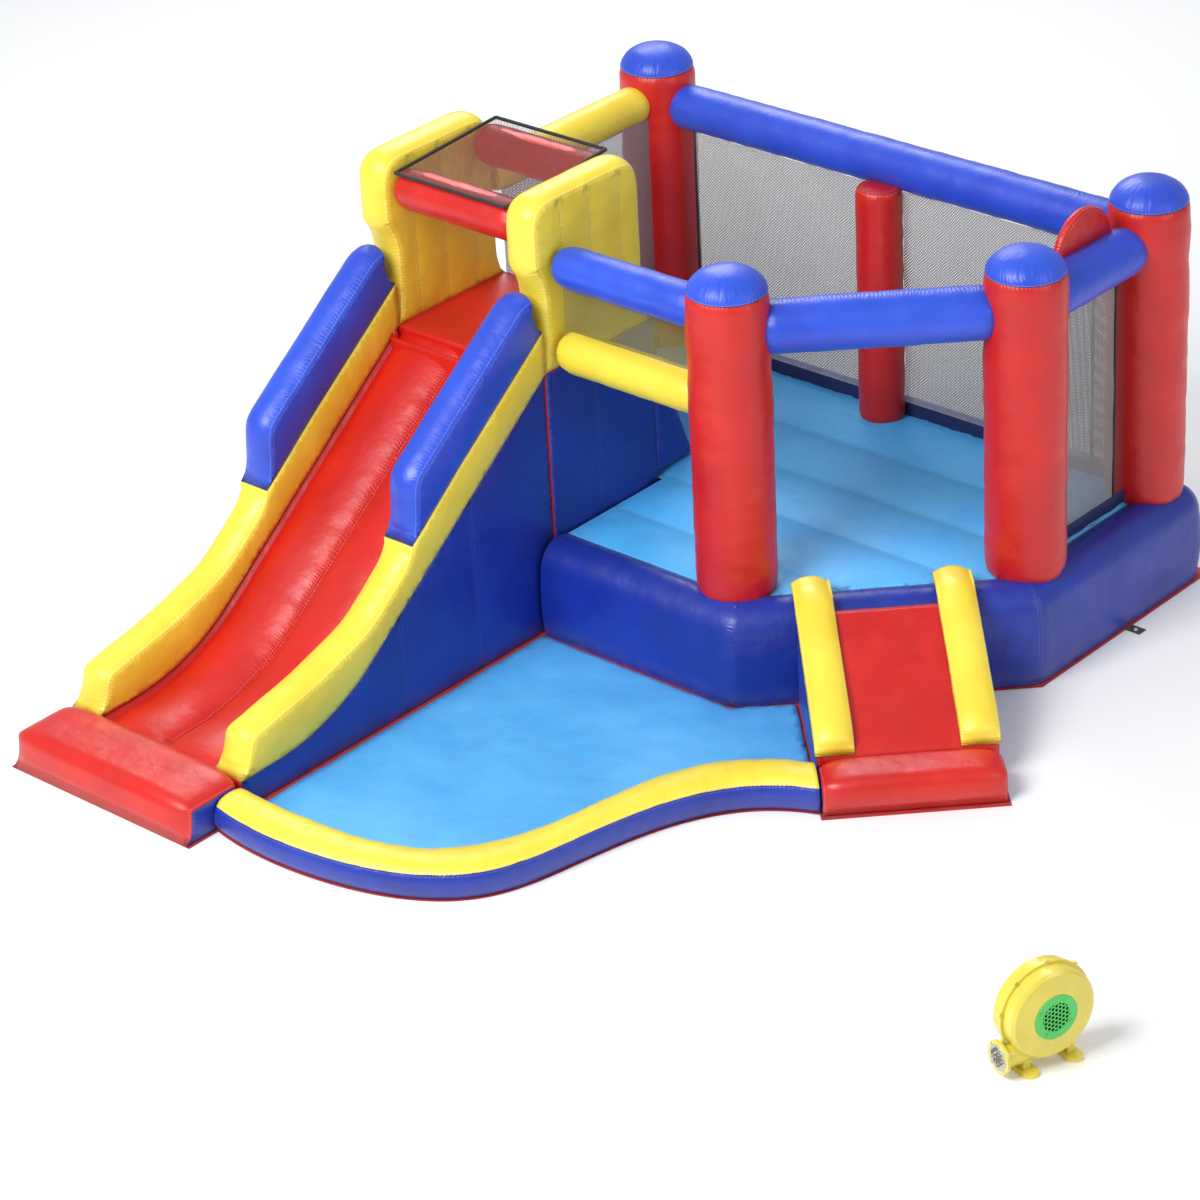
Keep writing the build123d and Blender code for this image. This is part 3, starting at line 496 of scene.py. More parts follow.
def membrane(flat, triangles, pinned, height, reach, held=None):
    """Lift of an inflated skin: pressure against tension, held down where it is sewn."""
    count = len(flat)
    rows, cols, values = [], [], []
    mass = np.zeros(count)
    for a, b, c in ((0, 1, 2), (1, 2, 0), (2, 0, 1)):
        i, j, k = triangles[:, a], triangles[:, b], triangles[:, c]
        u, v = flat[i] - flat[k], flat[j] - flat[k]
        cross = np.abs(u[:, 0] * v[:, 1] - u[:, 1] * v[:, 0]) + 1e-12
        weight = np.clip(0.5 * (u * v).sum(1) / cross, 0.01, 10)
        for p, q in ((i, j), (j, i)):
            rows.append(p)
            cols.append(q)
            values.append(weight)
        mass += np.bincount(k, weights=cross / 6, minlength=count)
    rows, cols, values = np.concatenate(rows), np.concatenate(cols), np.concatenate(values)
    diagonal = np.bincount(rows, weights=values, minlength=count) + mass / reach**2

    def apply(z):
        return diagonal * z - np.bincount(rows, weights=values * z[cols], minlength=count)

    z = np.zeros(count) if held is None else held.copy()
    free = ~pinned
    z[free] = 0.0
    residual = (mass * height / reach**2 - apply(z)) * free
    search = residual / diagonal
    scale = (residual * search).sum()
    for _ in range(400):
        if scale < 1e-16:
            break
        moved = apply(search) * free
        alpha = scale / ((search * moved).sum() + 1e-30)
        z += alpha * search
        residual -= alpha * moved
        nxt = residual / diagonal * free
        new = (residual * nxt).sum()
        search = nxt + new / scale * search
        scale = new
    return z


def wander(places, seed, waves=(0.31, 0.17, 0.093)):
    """Smooth uneven numbers about 0 along a line, within about 1."""
    rng = np.random.default_rng(seed)
    total = np.zeros(len(places))
    for length in waves:
        total += np.sin(2 * math.pi * places / length + rng.uniform(0, 2 * math.pi))
    return total / len(waves)


class Skin:
    """Gathers the panels of one sewn piece, then makes its mesh."""

    def __init__(self):
        self.points, self.faces, self.paint, self.gap, self.run = [], [], [], [], []
        self.count = 0

    def add(self, points, faces, paint=0, gap=None, run=None):
        points = np.asarray(points, float)
        faces = [tuple(int(c) + self.count for c in f) for f in faces]
        self.points.append(points)
        self.faces += faces
        self.paint += [paint] * len(faces)
        self.gap.append(np.full(len(points), 1.0) if gap is None else np.asarray(gap, float))
        self.run.append(np.zeros(len(points)) if run is None else np.asarray(run, float))
        self.count += len(points)

    def grid(self, points, paint=0, gap=None, run=None, around=False):
        """Quads over an (n, m, 3) array of points; around joins its last row to its first."""
        n, m = points.shape[:2]
        faces = []
        for i in range(n if around else n - 1):
            j = (i + 1) % n
            for k in range(m - 1):
                faces.append((i * m + k, j * m + k, j * m + k + 1, i * m + k + 1))
        flat_gap = None if gap is None else np.asarray(gap, float).reshape(-1)
        flat_run = None if run is None else np.asarray(run, float).reshape(-1)
        self.add(points.reshape(-1, 3), faces, paint, flat_gap, flat_run)

    def panel(
        self, loops, place, lift, paint=0, seams=(), height=0.02, reach=0.04, seam_lift=0.25,
        pucker=0.002, seed=1, step=STEP, flip=False, base=None,
    ):
        """An inflated panel. place(points) gives row-frame points, and lift is the way it swells.

        reach is how far from a seam the skin rises to height, and seam_lift its share on inner seams."""
        clipped = []
        for line in seams:
            clear = np.min([distance_to(line, loop, True)[0] for loop in loops], axis=0) > 0.4 * step
            clipped.append(line[inside(line, loops) & clear])
        seams = [line for line in clipped if len(line) > 2]
        flat, triangles, pinned = fill(loops, seams, step)
        gap = np.full(len(flat), 1e9)
        run = np.zeros(len(flat))
        for line, closed in [(l, True) for l in loops] + [(s, False) for s in seams]:
            g, r = distance_to(flat, line, closed)
            nearer = g < gap
            gap[nearer], run[nearer] = g[nearer], r[nearer]
        held = np.zeros(len(flat))
        for line in seams:
            g, _ = distance_to(flat, line, False)
            edge = np.min([distance_to(flat, l, True)[0] for l in loops], axis=0)
            on = (g < 1e-6) & (edge > 1e-6)
            held[on] = seam_lift * height * (1 - np.exp(-edge[on] / reach))
        z = membrane(flat, triangles, pinned, height, reach, held)
        z += pucker * np.exp(-gap / 0.05) * wander(run, seed) * (~pinned) * np.minimum(1, gap / 0.02)
        if base is not None:
            z = z + base(flat)
        points = place(flat) + z[:, None] * np.asarray(lift, float)
        faces = triangles[:, ::-1] if flip else triangles
        self.add(points, faces, paint, gap, run)

    def make(
        self, name, paints, replaces=(), roughen=0.0015, weld=0.0004, smooth=True
    ):
        """The piece itself: it rides the house."""
        points = np.vstack(self.points)
        mesh = bpy.data.meshes.new(name)
        mesh.from_pydata([tuple(p) for p in points], [], self.faces)
        for label, values in (("seam_gap", self.gap), ("seam_run", self.run)):
            layer = mesh.attributes.new(label, "FLOAT", "POINT")
            layer.data.foreach_set("value", np.concatenate(values))
        for material in paints:
            mesh.materials.append(material)
        mesh.polygons.foreach_set("material_index", self.paint)
        work = bmesh.new()
        work.from_mesh(mesh)
        bmesh.ops.remove_doubles(work, verts=work.verts, dist=weld)
        bmesh.ops.recalc_face_normals(work, faces=work.faces)
        if roughen:
            work.normal_update()
            for vert in work.verts:
                dent = noise.noise(vert.co * 6.0) + 0.5 * noise.noise(vert.co * 14.0)
                vert.co += vert.normal * (roughen * dent)
        for face in work.faces:
            face.smooth = smooth
        work.to_mesh(mesh)
        work.free()
        piece = bpy.data.objects.new(name, mesh)
        scene.collection.objects.link(piece)
        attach(piece, HOUSE)
        if replaces:
            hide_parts(*replaces)
        return piece


def swell(across, width, height):
    """Height of a strip of cloth between two seams, across from 0 to 1, steepest at 45 degrees."""
    half_width = width / 2
    k = half_width / max(height, 1e-6)
    for _ in range(12):
        k = half_width / max(height, 1e-6) / math.tanh(k)
    k = min(k, 12.0)
    return height * (1 - np.cosh(k * (2 * across - 1)) / math.cosh(k))


def joined(points, others, tolerance=0.007, passes=6):
    """1 where an outline is free and 0 where it is sewn to another, with a short change between."""
    free = np.ones(len(points))
    for other in others:
        gap, _ = distance_to(points, other, True)
        free[gap < tolerance] = 0.0
    for _ in range(passes):
        free = np.minimum(free, (np.roll(free, 1) + np.roll(free, -1)) / 2 * 0.5 + free * 0.5)
    return free


def cell(
    name, outline, sewn_to, across, wide, span, paints, slot, dip=None, corner=8, height=0.03,
    side_height=SEAM_INSET, reach=0.045, seams=(), strips=14, seed=3, pucker=0.002, step=STEP, side_paint=0,
):
    """An inflated cell: two side panels of one outline, joined by a strip round it.

    across and UP span the outline; wide is the way from one side to the other, over span. The strip
    swells by height and the sides by side_height, and their seams lie that far inside the outline."""
    loop = even(outline, step)
    free = joined(loop, sewn_to) * joined(loop, [GROUND_LINE], passes=3)
    normal = outward(loop)
    loop = loop - normal * (height * free)[:, None]
    soft = soften(loop, corner)
    weight = np.minimum(1, free * 1.5)[:, None]
    loop = soft * weight + loop * (1 - weight)
    normal = outward(loop)
    near, far = span[0] + side_height, span[1] - side_height
    width = far - near
    skin = Skin()

    def at(points, w):
        return points[:, :1] * across + points[:, 1:] * UP + w * wide

    places = arc_lengths(loop, True)[:-1]
    u = (1 - np.cos(np.linspace(0, math.pi, strips + 1))) / 2
    rise = swell(u, width, height)
    ripple = 1 + pucker * 12 * wander(places, seed + 5)
    sunk = np.zeros(len(u)) if dip is None else dip(near + width * u)
    rim = []
    for s, r, d in zip(u, rise, sunk):
        proud = r * free * ripple - d * (1 - free)
        rim.append(at(loop + normal * proud[:, None], near + width * s))
    gap = np.tile(np.minimum(u, 1 - u) * width, (len(loop), 1))
    run = np.tile(places[:, None], (1, strips + 1))
    skin.grid(np.stack(rim, axis=1), 0, gap, run, around=True)
    for w, way in ((near, -1), (far, 1)):
        more = dict(pucker=pucker, seed=seed + way, step=step, flip=way < 0)
        lift = way * wide
        skin.panel([loop], lambda p, w=w: at(p, w), lift, side_paint, seams, side_height, reach, **more)
    return skin.make(name, paints, [name])


def tube(
    skin, start, end, radius, round_start, round_end, sides=56, step=0.025, waver=0.004, seed=1,
    shrink=0.4, shape=None, seam_turn=None,
):
    """A round inflated tube from start to end, closed by flat ends.

    Its ends shrink over round_start and round_end; shape gives the radius along it, as a share."""
    start, end = np.asarray(start, float), np.asarray(end, float)
    length = np.linalg.norm(end - start)
    way = (end - start) / length
    side = np.cross(way, UP)
    side = side / np.linalg.norm(side) if np.linalg.norm(side) > 0.1 else X
    other = np.cross(way, side)
    s = np.arange(0, length + step / 2, length / max(2, round(length / step)))
    for ends, reach in ((0.0, round_start), (length, round_end)):
        if reach:
            extra = reach * (1 - np.cos(np.linspace(0, math.pi / 2, 8)))
            s = np.append(s, ends + extra if ends == 0.0 else ends - extra)
    s = np.unique(np.round(s, 5))
    turn = np.linspace(0, 2 * math.pi, sides, endpoint=False)
    r = np.full(len(s), radius) * (1 + waver / radius * wander(s, seed))
    if shape is not None:
        r = r * shape(s / length)
    for gap, reach in ((s, round_start), (length - s, round_end)):
        if reach:
            t = np.clip(1 - gap / reach, 0, 1)
            r = r * (1 - shrink * (1 - np.sqrt(1 - t**2)))
    near_end = np.minimum(s, length - s)
    rings = np.zeros((len(s), sides, 3))
    rng = np.random.default_rng(seed)
    phases = rng.uniform(0, 2 * math.pi, 3)
    creases = sum(np.sin(n * turn + p) for n, p in zip((9, 14, 23), phases)) / 3
    for k in range(len(s)):
        ring = r[k] * (1 - 0.022 * math.exp(-near_end[k] / 0.05) * (1 + creases))
        round_way = np.cos(turn)[:, None] * side + np.sin(turn)[:, None] * other
        rings[k] = start + way * s[k] + round_way * ring[:, None]
    gap = np.tile(near_end[:, None], (1, sides))
    run = np.tile((turn * radius)[None, :], (len(s), 1))
    if seam_turn is not None:
        off = np.abs((turn - seam_turn + math.pi) % (2 * math.pi) - math.pi) * radius
        gap = np.minimum(gap, off[None, :])
        run = np.where(off[None, :] < near_end[:, None], s[:, None], run)
    closed = np.concatenate([rings, rings[:, :1]], axis=1)
    gap = np.concatenate([gap, gap[:, :1]], axis=1)
    run = np.concatenate([run, run[:, :1]], axis=1)
    skin.grid(closed, 0, gap, run)
    for k in (0, -1):
        centre = rings[k].mean(0)
        fan = [(a, (a + 1) % sides, sides) for a in range(sides)]
        end_gap = np.append(np.zeros(sides), 0.05)
        skin.add(np.vstack([rings[k], centre]), fan, 0, end_gap, np.append(turn * radius, 0))


def box_of(node):
    """A node's box as two arrays."""
    low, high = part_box(node)
    return np.array(low), np.array(high)


def centre_of(node):
    low, high = box_of(node)
    return (low + high) / 2


def at_height(line, z):
    """Points of a plan line at one height, or at a height each."""
    return np.column_stack([line, np.broadcast_to(z, len(line))])


def walls(line, heights):
    """A grid of points: a plan line repeated at each height."""
    return np.stack([at_height(line, z) for z in heights], axis=1)


def stroke(skin, points, radius, sides=6):
    """A thin round cord of binding along a line of points."""
    way = np.roll(points, -1, axis=0) - np.roll(points, 1, axis=0)
    way[0], way[-1] = points[1] - points[0], points[-1] - points[-2]
    way /= np.linalg.norm(way, axis=1)[:, None] + 1e-12
    side = np.cross(way, UP)
    flat = np.linalg.norm(side, axis=1) < 0.2
    side[flat] = np.cross(way[flat], X)
    side /= np.linalg.norm(side, axis=1)[:, None]
    other = np.cross(way, side)
    turn = np.linspace(0, 2 * math.pi, sides + 1)
    cosine, sine = np.cos(turn)[:, None], np.sin(turn)[:, None]
    rings = points[:, None] + radius * (cosine * side[:, None] + sine * other[:, None])
    skin.grid(rings)
    for k in (0, -1):
        skin.add(rings[k][:-1], [tuple(range(sides))])


# ---- bouncing room: border, floor, posts and rails
FLOOR_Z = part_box("border")[1].z
SEAM_Z = FLOOR_Z - 0.018         # of the seams between border and floor, and between the floor's channels
BORDER_ROUND = 0.125
BORDER_BULGE = 0.034
border_sides = corner_pieces(cad_loops("border", -UP, X, Y)[0], STEP)
longest = max(range(len(border_sides)), key=lambda k: arc_lengths(border_sides[k], False)[-1])
border_sides = border_sides[longest:] + border_sides[:longest]
outer_line = border_sides[0]
inner_line = np.vstack([part[:-1] for part in border_sides[2:-1]] + [border_sides[-2][-1:]])
line_way = np.gradient(outer_line, axis=0)
line_normal = np.column_stack([line_way[:, 1], -line_way[:, 0]])
line_normal /= np.linalg.norm(line_normal, axis=1)[:, None]
line_run = arc_lengths(outer_line, False)
wall_top = FLOOR_Z - BORDER_ROUND
profile = []
for t in np.linspace(0, 1, 11):
    bulge = math.sin(math.pi * (0.12 + 0.66 * t)) ** 0.7
    profile.append((BORDER_BULGE * (1 - bulge), 0.004 + t * (wall_top - 0.004)))
round_start = profile[-1][0]
for turn in np.linspace(0, math.pi / 2, 9)[1:]:
    inset = round_start + BORDER_ROUND * (1 - math.cos(turn))
    profile.append((inset, FLOOR_Z - BORDER_ROUND * (1 - math.sin(turn))))
rows = np.stack([at_height(outer_line - line_normal * inset, z) for inset, z in profile], axis=1)
heights = np.array([z for _, z in profile])
heading = np.unwrap(np.arctan2(line_normal[:, 1], line_normal[:, 0]))
turning = np.abs(np.gradient(heading))
corner_places = []
for k in np.flatnonzero(turning > math.radians(3)):
    if corner_places and line_run[k] - corner_places[-1][-1] < 0.15:
        corner_places[-1].append(line_run[k])
    else:
        corner_places.append([line_run[k]])
gap = np.full((len(outer_line), len(profile)), 1.0)
for places in corner_places:
    gap = np.minimum(gap, np.abs(line_run - np.mean(places))[:, None])
foot = np.tile(heights[None, :] - heights[0], (len(outer_line), 1))
run = np.where(foot < gap, line_run[:, None], heights[None, :])
top_edge = rows[:, -1, :2]


def border_dip(p):
    """The border's top sinks towards the seam that joins it to the floor."""
    to_floor, to_edge = (distance_to(p, line, False)[0] for line in (inner_line, top_edge))
    return (SEAM_Z - FLOOR_Z) * np.exp(-to_floor / 0.03) * np.minimum(1, to_edge / 0.03)


skin = Skin()
skin.grid(rows, 0, np.minimum(gap, foot), run)
skin.panel(
    [np.vstack([top_edge, inner_line])],
    lambda p: at_height(p, FLOOR_Z),
    UP,
    height=0.0,
    reach=0.05,
    pucker=0.0,
    base=border_dip,
)
skin.make("border", [DEEP_BLUE], ["border"])

floor_outline = even(cad_loops("bounce_floor", -UP, X, Y)[0], STEP)
floor_low, floor_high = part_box("bounce_floor")
FLOOR_SEAMS = (0.362, 0.714, 1.065, 1.414)
floor_seams = []
for y in FLOOR_SEAMS:
    x = np.arange(floor_low.x, floor_high.x, STEP)
    line = np.column_stack([x, np.full(len(x), y)])
    near = distance_to(line, floor_outline, True)[0]
    floor_seams.append(line[inside(line, [floor_outline]) & (near > 0.012)])
skin = Skin()
skin.panel(
    [floor_outline],
    lambda p: at_height(p, SEAM_Z),
    UP,
    seams=floor_seams,
    height=0.030,
    reach=0.10,
    seam_lift=-0.1,
    pucker=0.0015,
)
skin.make("bounce_floor", [SKY], ["bounce_floor"])

POSTS = ("front_left", "front_right", "back_right", "back_left")
POST_SWELLS = (-0.18, 0.12), (0.0, 0.05), (0.16, 0.10)      # heights from the waist, and widths
WAISTS = {"front_left": 1.42, "front_right": 1.50, "back_right": 1.50, "back_left": 1.50}
for index, name in enumerate(POSTS):
    low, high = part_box(f"post_{name}")
    x, y = centre_of(f"post_{name}")[:2]
    radius = (high.x - low.x) / 2

    def post_shape(t, low=low, high=high, waist=WAISTS[name]):
        """Share of the full radius: drawn in where the rails are sewn on, and fuller above and below."""
        z = low.z + t * (high.z - low.z) - waist
        below, drawn, above = (np.exp(-((z - mid) / wide) ** 2) for mid, wide in POST_SWELLS)
        return 0.972 + 0.018 * below - 0.016 * drawn + 0.02 * above

    skin = Skin()
    ends = (x, y, low.z + 0.015), (x, y, high.z - 0.004)
    more = dict(sides=72, waver=0.002, seed=20 + index, shrink=0.10, shape=post_shape)
    tube(skin, *ends, radius, 0.07, 0.055, seam_turn=math.pi * 0.25, **more)
    skin.make(f"post_{name}", [RED], [f"post_{name}"])

low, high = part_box("post_back_middle")
skin = Skin()
x, y = centre_of("post_back_middle")[:2]
ends = (x, y, low.z - 0.01), (x, y, high.z - 0.02)
tube(skin, *ends, (high.x - low.x) / 2 - 0.002, 0.05, 0.05, waver=0.002, seed=31, shrink=0.12)
skin.make("post_back_middle", [RED], ["post_back_middle"])

CAP_FOLDS = (24, 1.0), (36, 0.8), (11, 0.5)      # how many round a cap, and how strong
cap_low, cap_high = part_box("post_caps")
skin = Skin()
for index, name in enumerate(POSTS):
    centre = centre_of(f"post_{name}")
    low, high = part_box(f"post_{name}")
    radius = (high.x - low.x) / 2 - 0.010
    rise = cap_high.z - cap_low.z
    rng = np.random.default_rng(50 + index)
    turn = np.linspace(0, 2 * math.pi, 145)
    share = np.sin(np.linspace(0, math.pi / 2, 18))
    folds = sum(a * np.sin(n * turn + rng.uniform(0, 6.28)) for n, a in CAP_FOLDS) / 2.3
    rings = []
    for r in share:
        z = cap_low.z - 0.006 + rise * (1 - r**2.3) ** 0.62 + 0.0055 * folds * r**4 * (1 - r**8)
        plan = centre[:2] + radius * r * np.column_stack([np.cos(turn), np.sin(turn)])
        rings.append(at_height(plan, z))
    rings = np.stack(rings)
    gap = np.tile((0.008 + (1 - share) * radius)[:, None], (1, len(turn)))
    skin.grid(rings, 0, gap, np.tile((turn * radius)[None, :], (len(share), 1)))
    skin.add(rings[-1][:-1] - (0, 0, 0.002), [tuple(range(len(turn) - 1))[::-1]], 0)
skin.make("post_caps", [BLUE], ["post_caps"])


def rail(name, start, end, radius, material, seed):
    skin = Skin()
    more = dict(sides=64, step=0.03, waver=0.0015, seed=seed, shrink=0.30, seam_turn=math.pi * 1.5)
    tube(skin, start, end, radius, 0.075, 0.075, **more)
    skin.make(name, [material], [name])


DIP = 0.050      # how far a rail's rounded end reaches past the skin that it is sewn to
post = {name: centre_of(f"post_{name}") for name in POSTS}
low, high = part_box("post_front_left")
POST_R = (high.x - low.x) / 2
rail_low, rail_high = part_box("rail_front")
rail_z = (rail_low.z + rail_high.z) / 2
rail_r = (rail_high.z - rail_low.z) / 2
first, last = post["front_left"].copy(), post["front_right"].copy()
first[2] = last[2] = rail_z
way = (last - first) / np.linalg.norm(last - first)
sunk_end = way * (POST_R - DIP)
rail("rail_front", first + sunk_end, last - sunk_end, rail_r, BLUE, 61)
for name, axis, material, slot, seed in (
    ("rail_back", 0, BLUE, "fabric_blue", 62),
    ("rail_right", 1, BLUE, "fabric_blue", 63),
    ("rail_left_upper", 0, BLUE, "fabric_blue", 64),
    ("rail_left_lower", 0, YELLOW, "fabric_yellow", 65),
    ("rail_back_left", 1, YELLOW, "fabric_yellow", 66),
):
    low, high = box_of(name)
    start, end = centre_of(name), centre_of(name)
    at_post = {
        "rail_back": (post["back_left"][0] + POST_R - DIP, post["back_right"][0] - POST_R + DIP),
        "rail_right": (post["front_right"][1] + POST_R - DIP, post["back_right"][1] - POST_R + DIP),
        "rail_left_upper": (low[0] + 0.002, post["front_left"][0] - POST_R + DIP),
        "rail_left_lower": (low[0] + 0.002, post["front_left"][0] - POST_R + DIP),
        "rail_back_left": (low[1] + 0.002, post["back_left"][1] - POST_R + DIP),
    }[name]
    start[axis], end[axis] = at_post
    rail(name, start, end, (high[2] - low[2]) / 2 - 0.001, material, seed)

board_loop = cad_loops("backboard", -X, Y)[0]
board_low, board_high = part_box("backboard")
board_span = (board_low.x, board_high.x)
more = dict(height=0.026, side_height=0.026, reach=0.06, seed=71, pucker=0.006, step=0.014)
cell("backboard", board_loop, [], Y, X, board_span, [RED], "fabric_red", **more)

# ---- tower
BODIES = ("slide_body", "tower_body", "climbing_wall", "landing_pad")
SIDES = ("slide_wall_right", "handrail_right", "tower_wall_right")
side_loops = {name: cad_loops(name, X, Y)[0] for name in BODIES + SIDES}
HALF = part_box("tower_body")[1].x
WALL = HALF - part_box("tower_wall_right")[0].x
sewn = {      # the outlines that each cell is sewn to, where it doesn't swell
    "tower_body": [side_loops[k] for k in ("slide_body", "tower_wall_right", "climbing_wall")],
    "slide_body": [side_loops[k] for k in ("tower_body", "slide_wall_right", "landing_pad")],
    "slide_wall": [side_loops[k] for k in ("tower_body", "slide_body") + SIDES[1:]],
    "handrail": [side_loops["slide_wall_right"]],
    "tower_wall": [side_loops["tower_body"]],
    "climbing_wall": [side_loops["tower_body"]],
}


def upright_seams(loop, places, margin=0.012):
    """Upright seam lines inside an outline."""
    lines = []
    for y in places:
        z = np.arange(loop[:, 1].min(), loop[:, 1].max(), STEP)
        line = np.column_stack([np.full(len(z), y), z])
        keep = inside(line, [loop]) & (distance_to(line, loop, True)[0] > margin)
        if keep.sum() > 2:
            lines.append(line[keep])
    return lines


def side_cell(name, loop, sewn_to, span, paints, slot, places=(), **more):
    seams = upright_seams(loop, places)
    return cell(name, loop, sewn_to, Y, X, span, paints, slot, seams=seams, **more)


WHOLE = (-HALF, HALF)
BLUE_SIDES = [RED, DEEP_BLUE]      # paint of a block's strips, and of its two sides
more = dict(height=0.01, reach=0.12, corner=0, strips=20, side_paint=1)
loop = side_loops["tower_body"]
side_cell("tower_body", loop, sewn["tower_body"], WHOLE, BLUE_SIDES, "fabric_blue", (0.30,), **more)
more = dict(height=0.02, strips=30, corner=4)
loop = side_loops["climbing_wall"]
side_cell("climbing_wall", loop, sewn["climbing_wall"], WHOLE, [DEEP_BLUE], "fabric_blue", **more)
WALL_SEAMS = (-0.010, 0.137, 0.315, 0.504)      # Y of the tower walls' sewn channels
SIDE_LOOKS = {      # material, slot, seams, seed, and then height, side_height, reach and corner
    "tower_wall": (YELLOW, "fabric_yellow", WALL_SEAMS, 81, (0.044, 0.026, 0.10, 8)),
    "slide_wall": (YELLOW, "fabric_yellow", (), 91, (0.055, 0.024, 0.09, 6)),
    "handrail": (BLUE, "fabric_blue", (), 95, (0.060, 0.026, 0.09, 12)),
}
for side, sign in (("left", -1), ("right", 1)):
    span = (HALF - WALL, HALF) if sign > 0 else (-HALF, WALL - HALF)
    for kind, (paint, slot, places, seed, sizes) in SIDE_LOOKS.items():
        loop = side_loops[f"{kind}_right"]
        more = dict(zip(("height", "side_height", "reach", "corner"), sizes))
        side_cell(f"{kind}_{side}", loop, sewn[kind], span, [paint], slot, places, seed=seed + sign, **more)


def under_cushion(w):
    """How far the slide body's skin sinks below its outline between the side walls."""
    return 0.075 * (np.abs(w) < HALF - WALL + 0.01)


more = dict(height=0.012, reach=0.16, side_height=0.03, corner=0, strips=40, side_paint=1)
loop = side_loops["slide_body"]
more["dip"] = under_cushion
side_cell("slide_body", loop, sewn["slide_body"], WHOLE, BLUE_SIDES, "fabric_blue", (-0.50, -0.95), **more)

for name, seed in (("tower_tube_front", 101), ("tower_tube_back", 102)):
    low, high = box_of(name)
    _, y, z = centre_of(name)
    skin = Skin()
    ends = (low[0] - 0.012, y, z), (high[0] + 0.012, y, z)
    more = dict(sides=60, step=0.02, waver=0.001, seed=seed, shrink=0.2, seam_turn=math.pi)
    tube(skin, *ends, (high[2] - low[2]) / 2 - 0.001, 0.06, 0.06, **more)
    skin.make(name, [RED], [name])

skin = Skin()
step_low, step_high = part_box("climbing_steps")
step_loops = cad_loops("climbing_steps", X, Y)
for index, loop in enumerate(step_loops):
    y, z = loop.mean(0) - (0.012, 0.004)
    reach = (loop[:, 1].max() - loop[:, 1].min()) / 2
    ends = (step_low.x + 0.004, y, z), (step_high.x - 0.004, y, z)
    tube(skin, *ends, reach, 0.03, 0.03, sides=32, step=0.03, waver=0.001, seed=110 + index, shrink=0.6)
skin.make("climbing_steps", [RED], ["climbing_steps"])

# ---- slide cushion
cushion_loop = cad_loops("slide_cushion", X, Y)[0]
cushion_low, cushion_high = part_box("slide_cushion")
dense = even(cushion_loop, 0.01, True, 30)
top_start = dense[np.argmin(np.linalg.norm(dense - (cushion_high.y, cushion_high.z), axis=1))]
end_points = dense[dense[:, 0] < cushion_low.y + 1e-4]
top_end = end_points[np.argmax(end_points[:, 1])]
a = int(np.argmin(np.linalg.norm(dense - top_start, axis=1)))
b = int(np.argmin(np.linalg.norm(dense - top_end, axis=1)))
forward = np.roll(dense, -a, axis=0)[: (b - a) % len(dense) + 1]
backward = np.roll(dense[::-1], -(len(dense) - 1 - a), axis=0)[: (a - b) % len(dense) + 1]
slope = forward if forward[:, 1].mean() > backward[:, 1].mean() else backward
slope = along_line(slope, np.linspace(0, arc_lengths(slope, False)[-1], 110))
way = np.gradient(slope, axis=0)
way /= np.linalg.norm(way, axis=1)[:, None]
lift_way = np.column_stack([way[:, 1], -way[:, 0]])
lift_way *= np.sign(lift_way[:, 1:2])
run_s = arc_lengths(slope, False)
half_cushion = cushion_high.x + 0.026      # its edges are sewn under the side walls' bulge
share = (1 - np.cos(np.linspace(0, math.pi, 17))) / 2
x_left = -half_cushion + share * half_cushion
x_all = np.concatenate([x_left, half_cushion * share[1:]])
channel = 1 - (2 * ((x_all % half_cushion) / half_cushion) - 1) ** 2
channel[[0, 16, 32]] = 0
end_fade = (1 - np.exp(-run_s / 0.05)) * (1 - np.exp(-(run_s[-1] - run_s) / 0.05))
edge_drop = 0.045
skin = Skin()
rows = []
for k in range(len(slope)):
    lift = -edge_drop + 0.052 * (channel**0.62) * (0.35 + 0.65 * end_fade[k])
    uneven = wander(np.array([run_s[k]]), 121)[0] * (np.abs(x_all) > 1e-6)
    lift = lift + 0.0035 * np.exp(-np.abs(x_all) / 0.05) * uneven
    yz = slope[k] + lift[:, None] * lift_way[k]
    rows.append(np.column_stack([x_all, yz]))
top = np.stack(rows)
seam_gap = np.minimum(np.abs(x_all), half_cushion - np.abs(x_all))
gap = np.tile(seam_gap[None, :], (len(slope), 1))
skin.grid(top, 0, gap, np.tile(run_s[:, None], (1, len(x_all))))
under = top.copy()
under[:, :, 1:] = (slope + lift_way * -0.065)[:, None, :]
skin.grid(under, 0)
for place in (np.s_[:, 0], np.s_[:, -1], np.s_[0], np.s_[-1]):
    skin.grid(np.stack([top[place], under[place]], axis=1), 0)
skin.make("slide_cushion", [RED], ["slide_cushion"])

# ---- landing pad and entry ramp
more = dict(height=0.045, side_height=0.014, corner=6, strips=36, side_paint=1, reach=0.05)
side_cell("landing_pad", side_loops["landing_pad"], [], WHOLE, BLUE_SIDES, "fabric_red", **more)


def ramp_cell(name, paints, slot, sewn_to=(), **more):
    loop = cad_loops(name, ALONG, OUT)[0]
    mesh = nodes[name].data
    wide = np.array([v.co for v in mesh.vertices]) @ ALONG
    return cell(name, loop, list(sewn_to), OUT, ALONG, (wide.min(), wide.max()), paints, slot, **more)


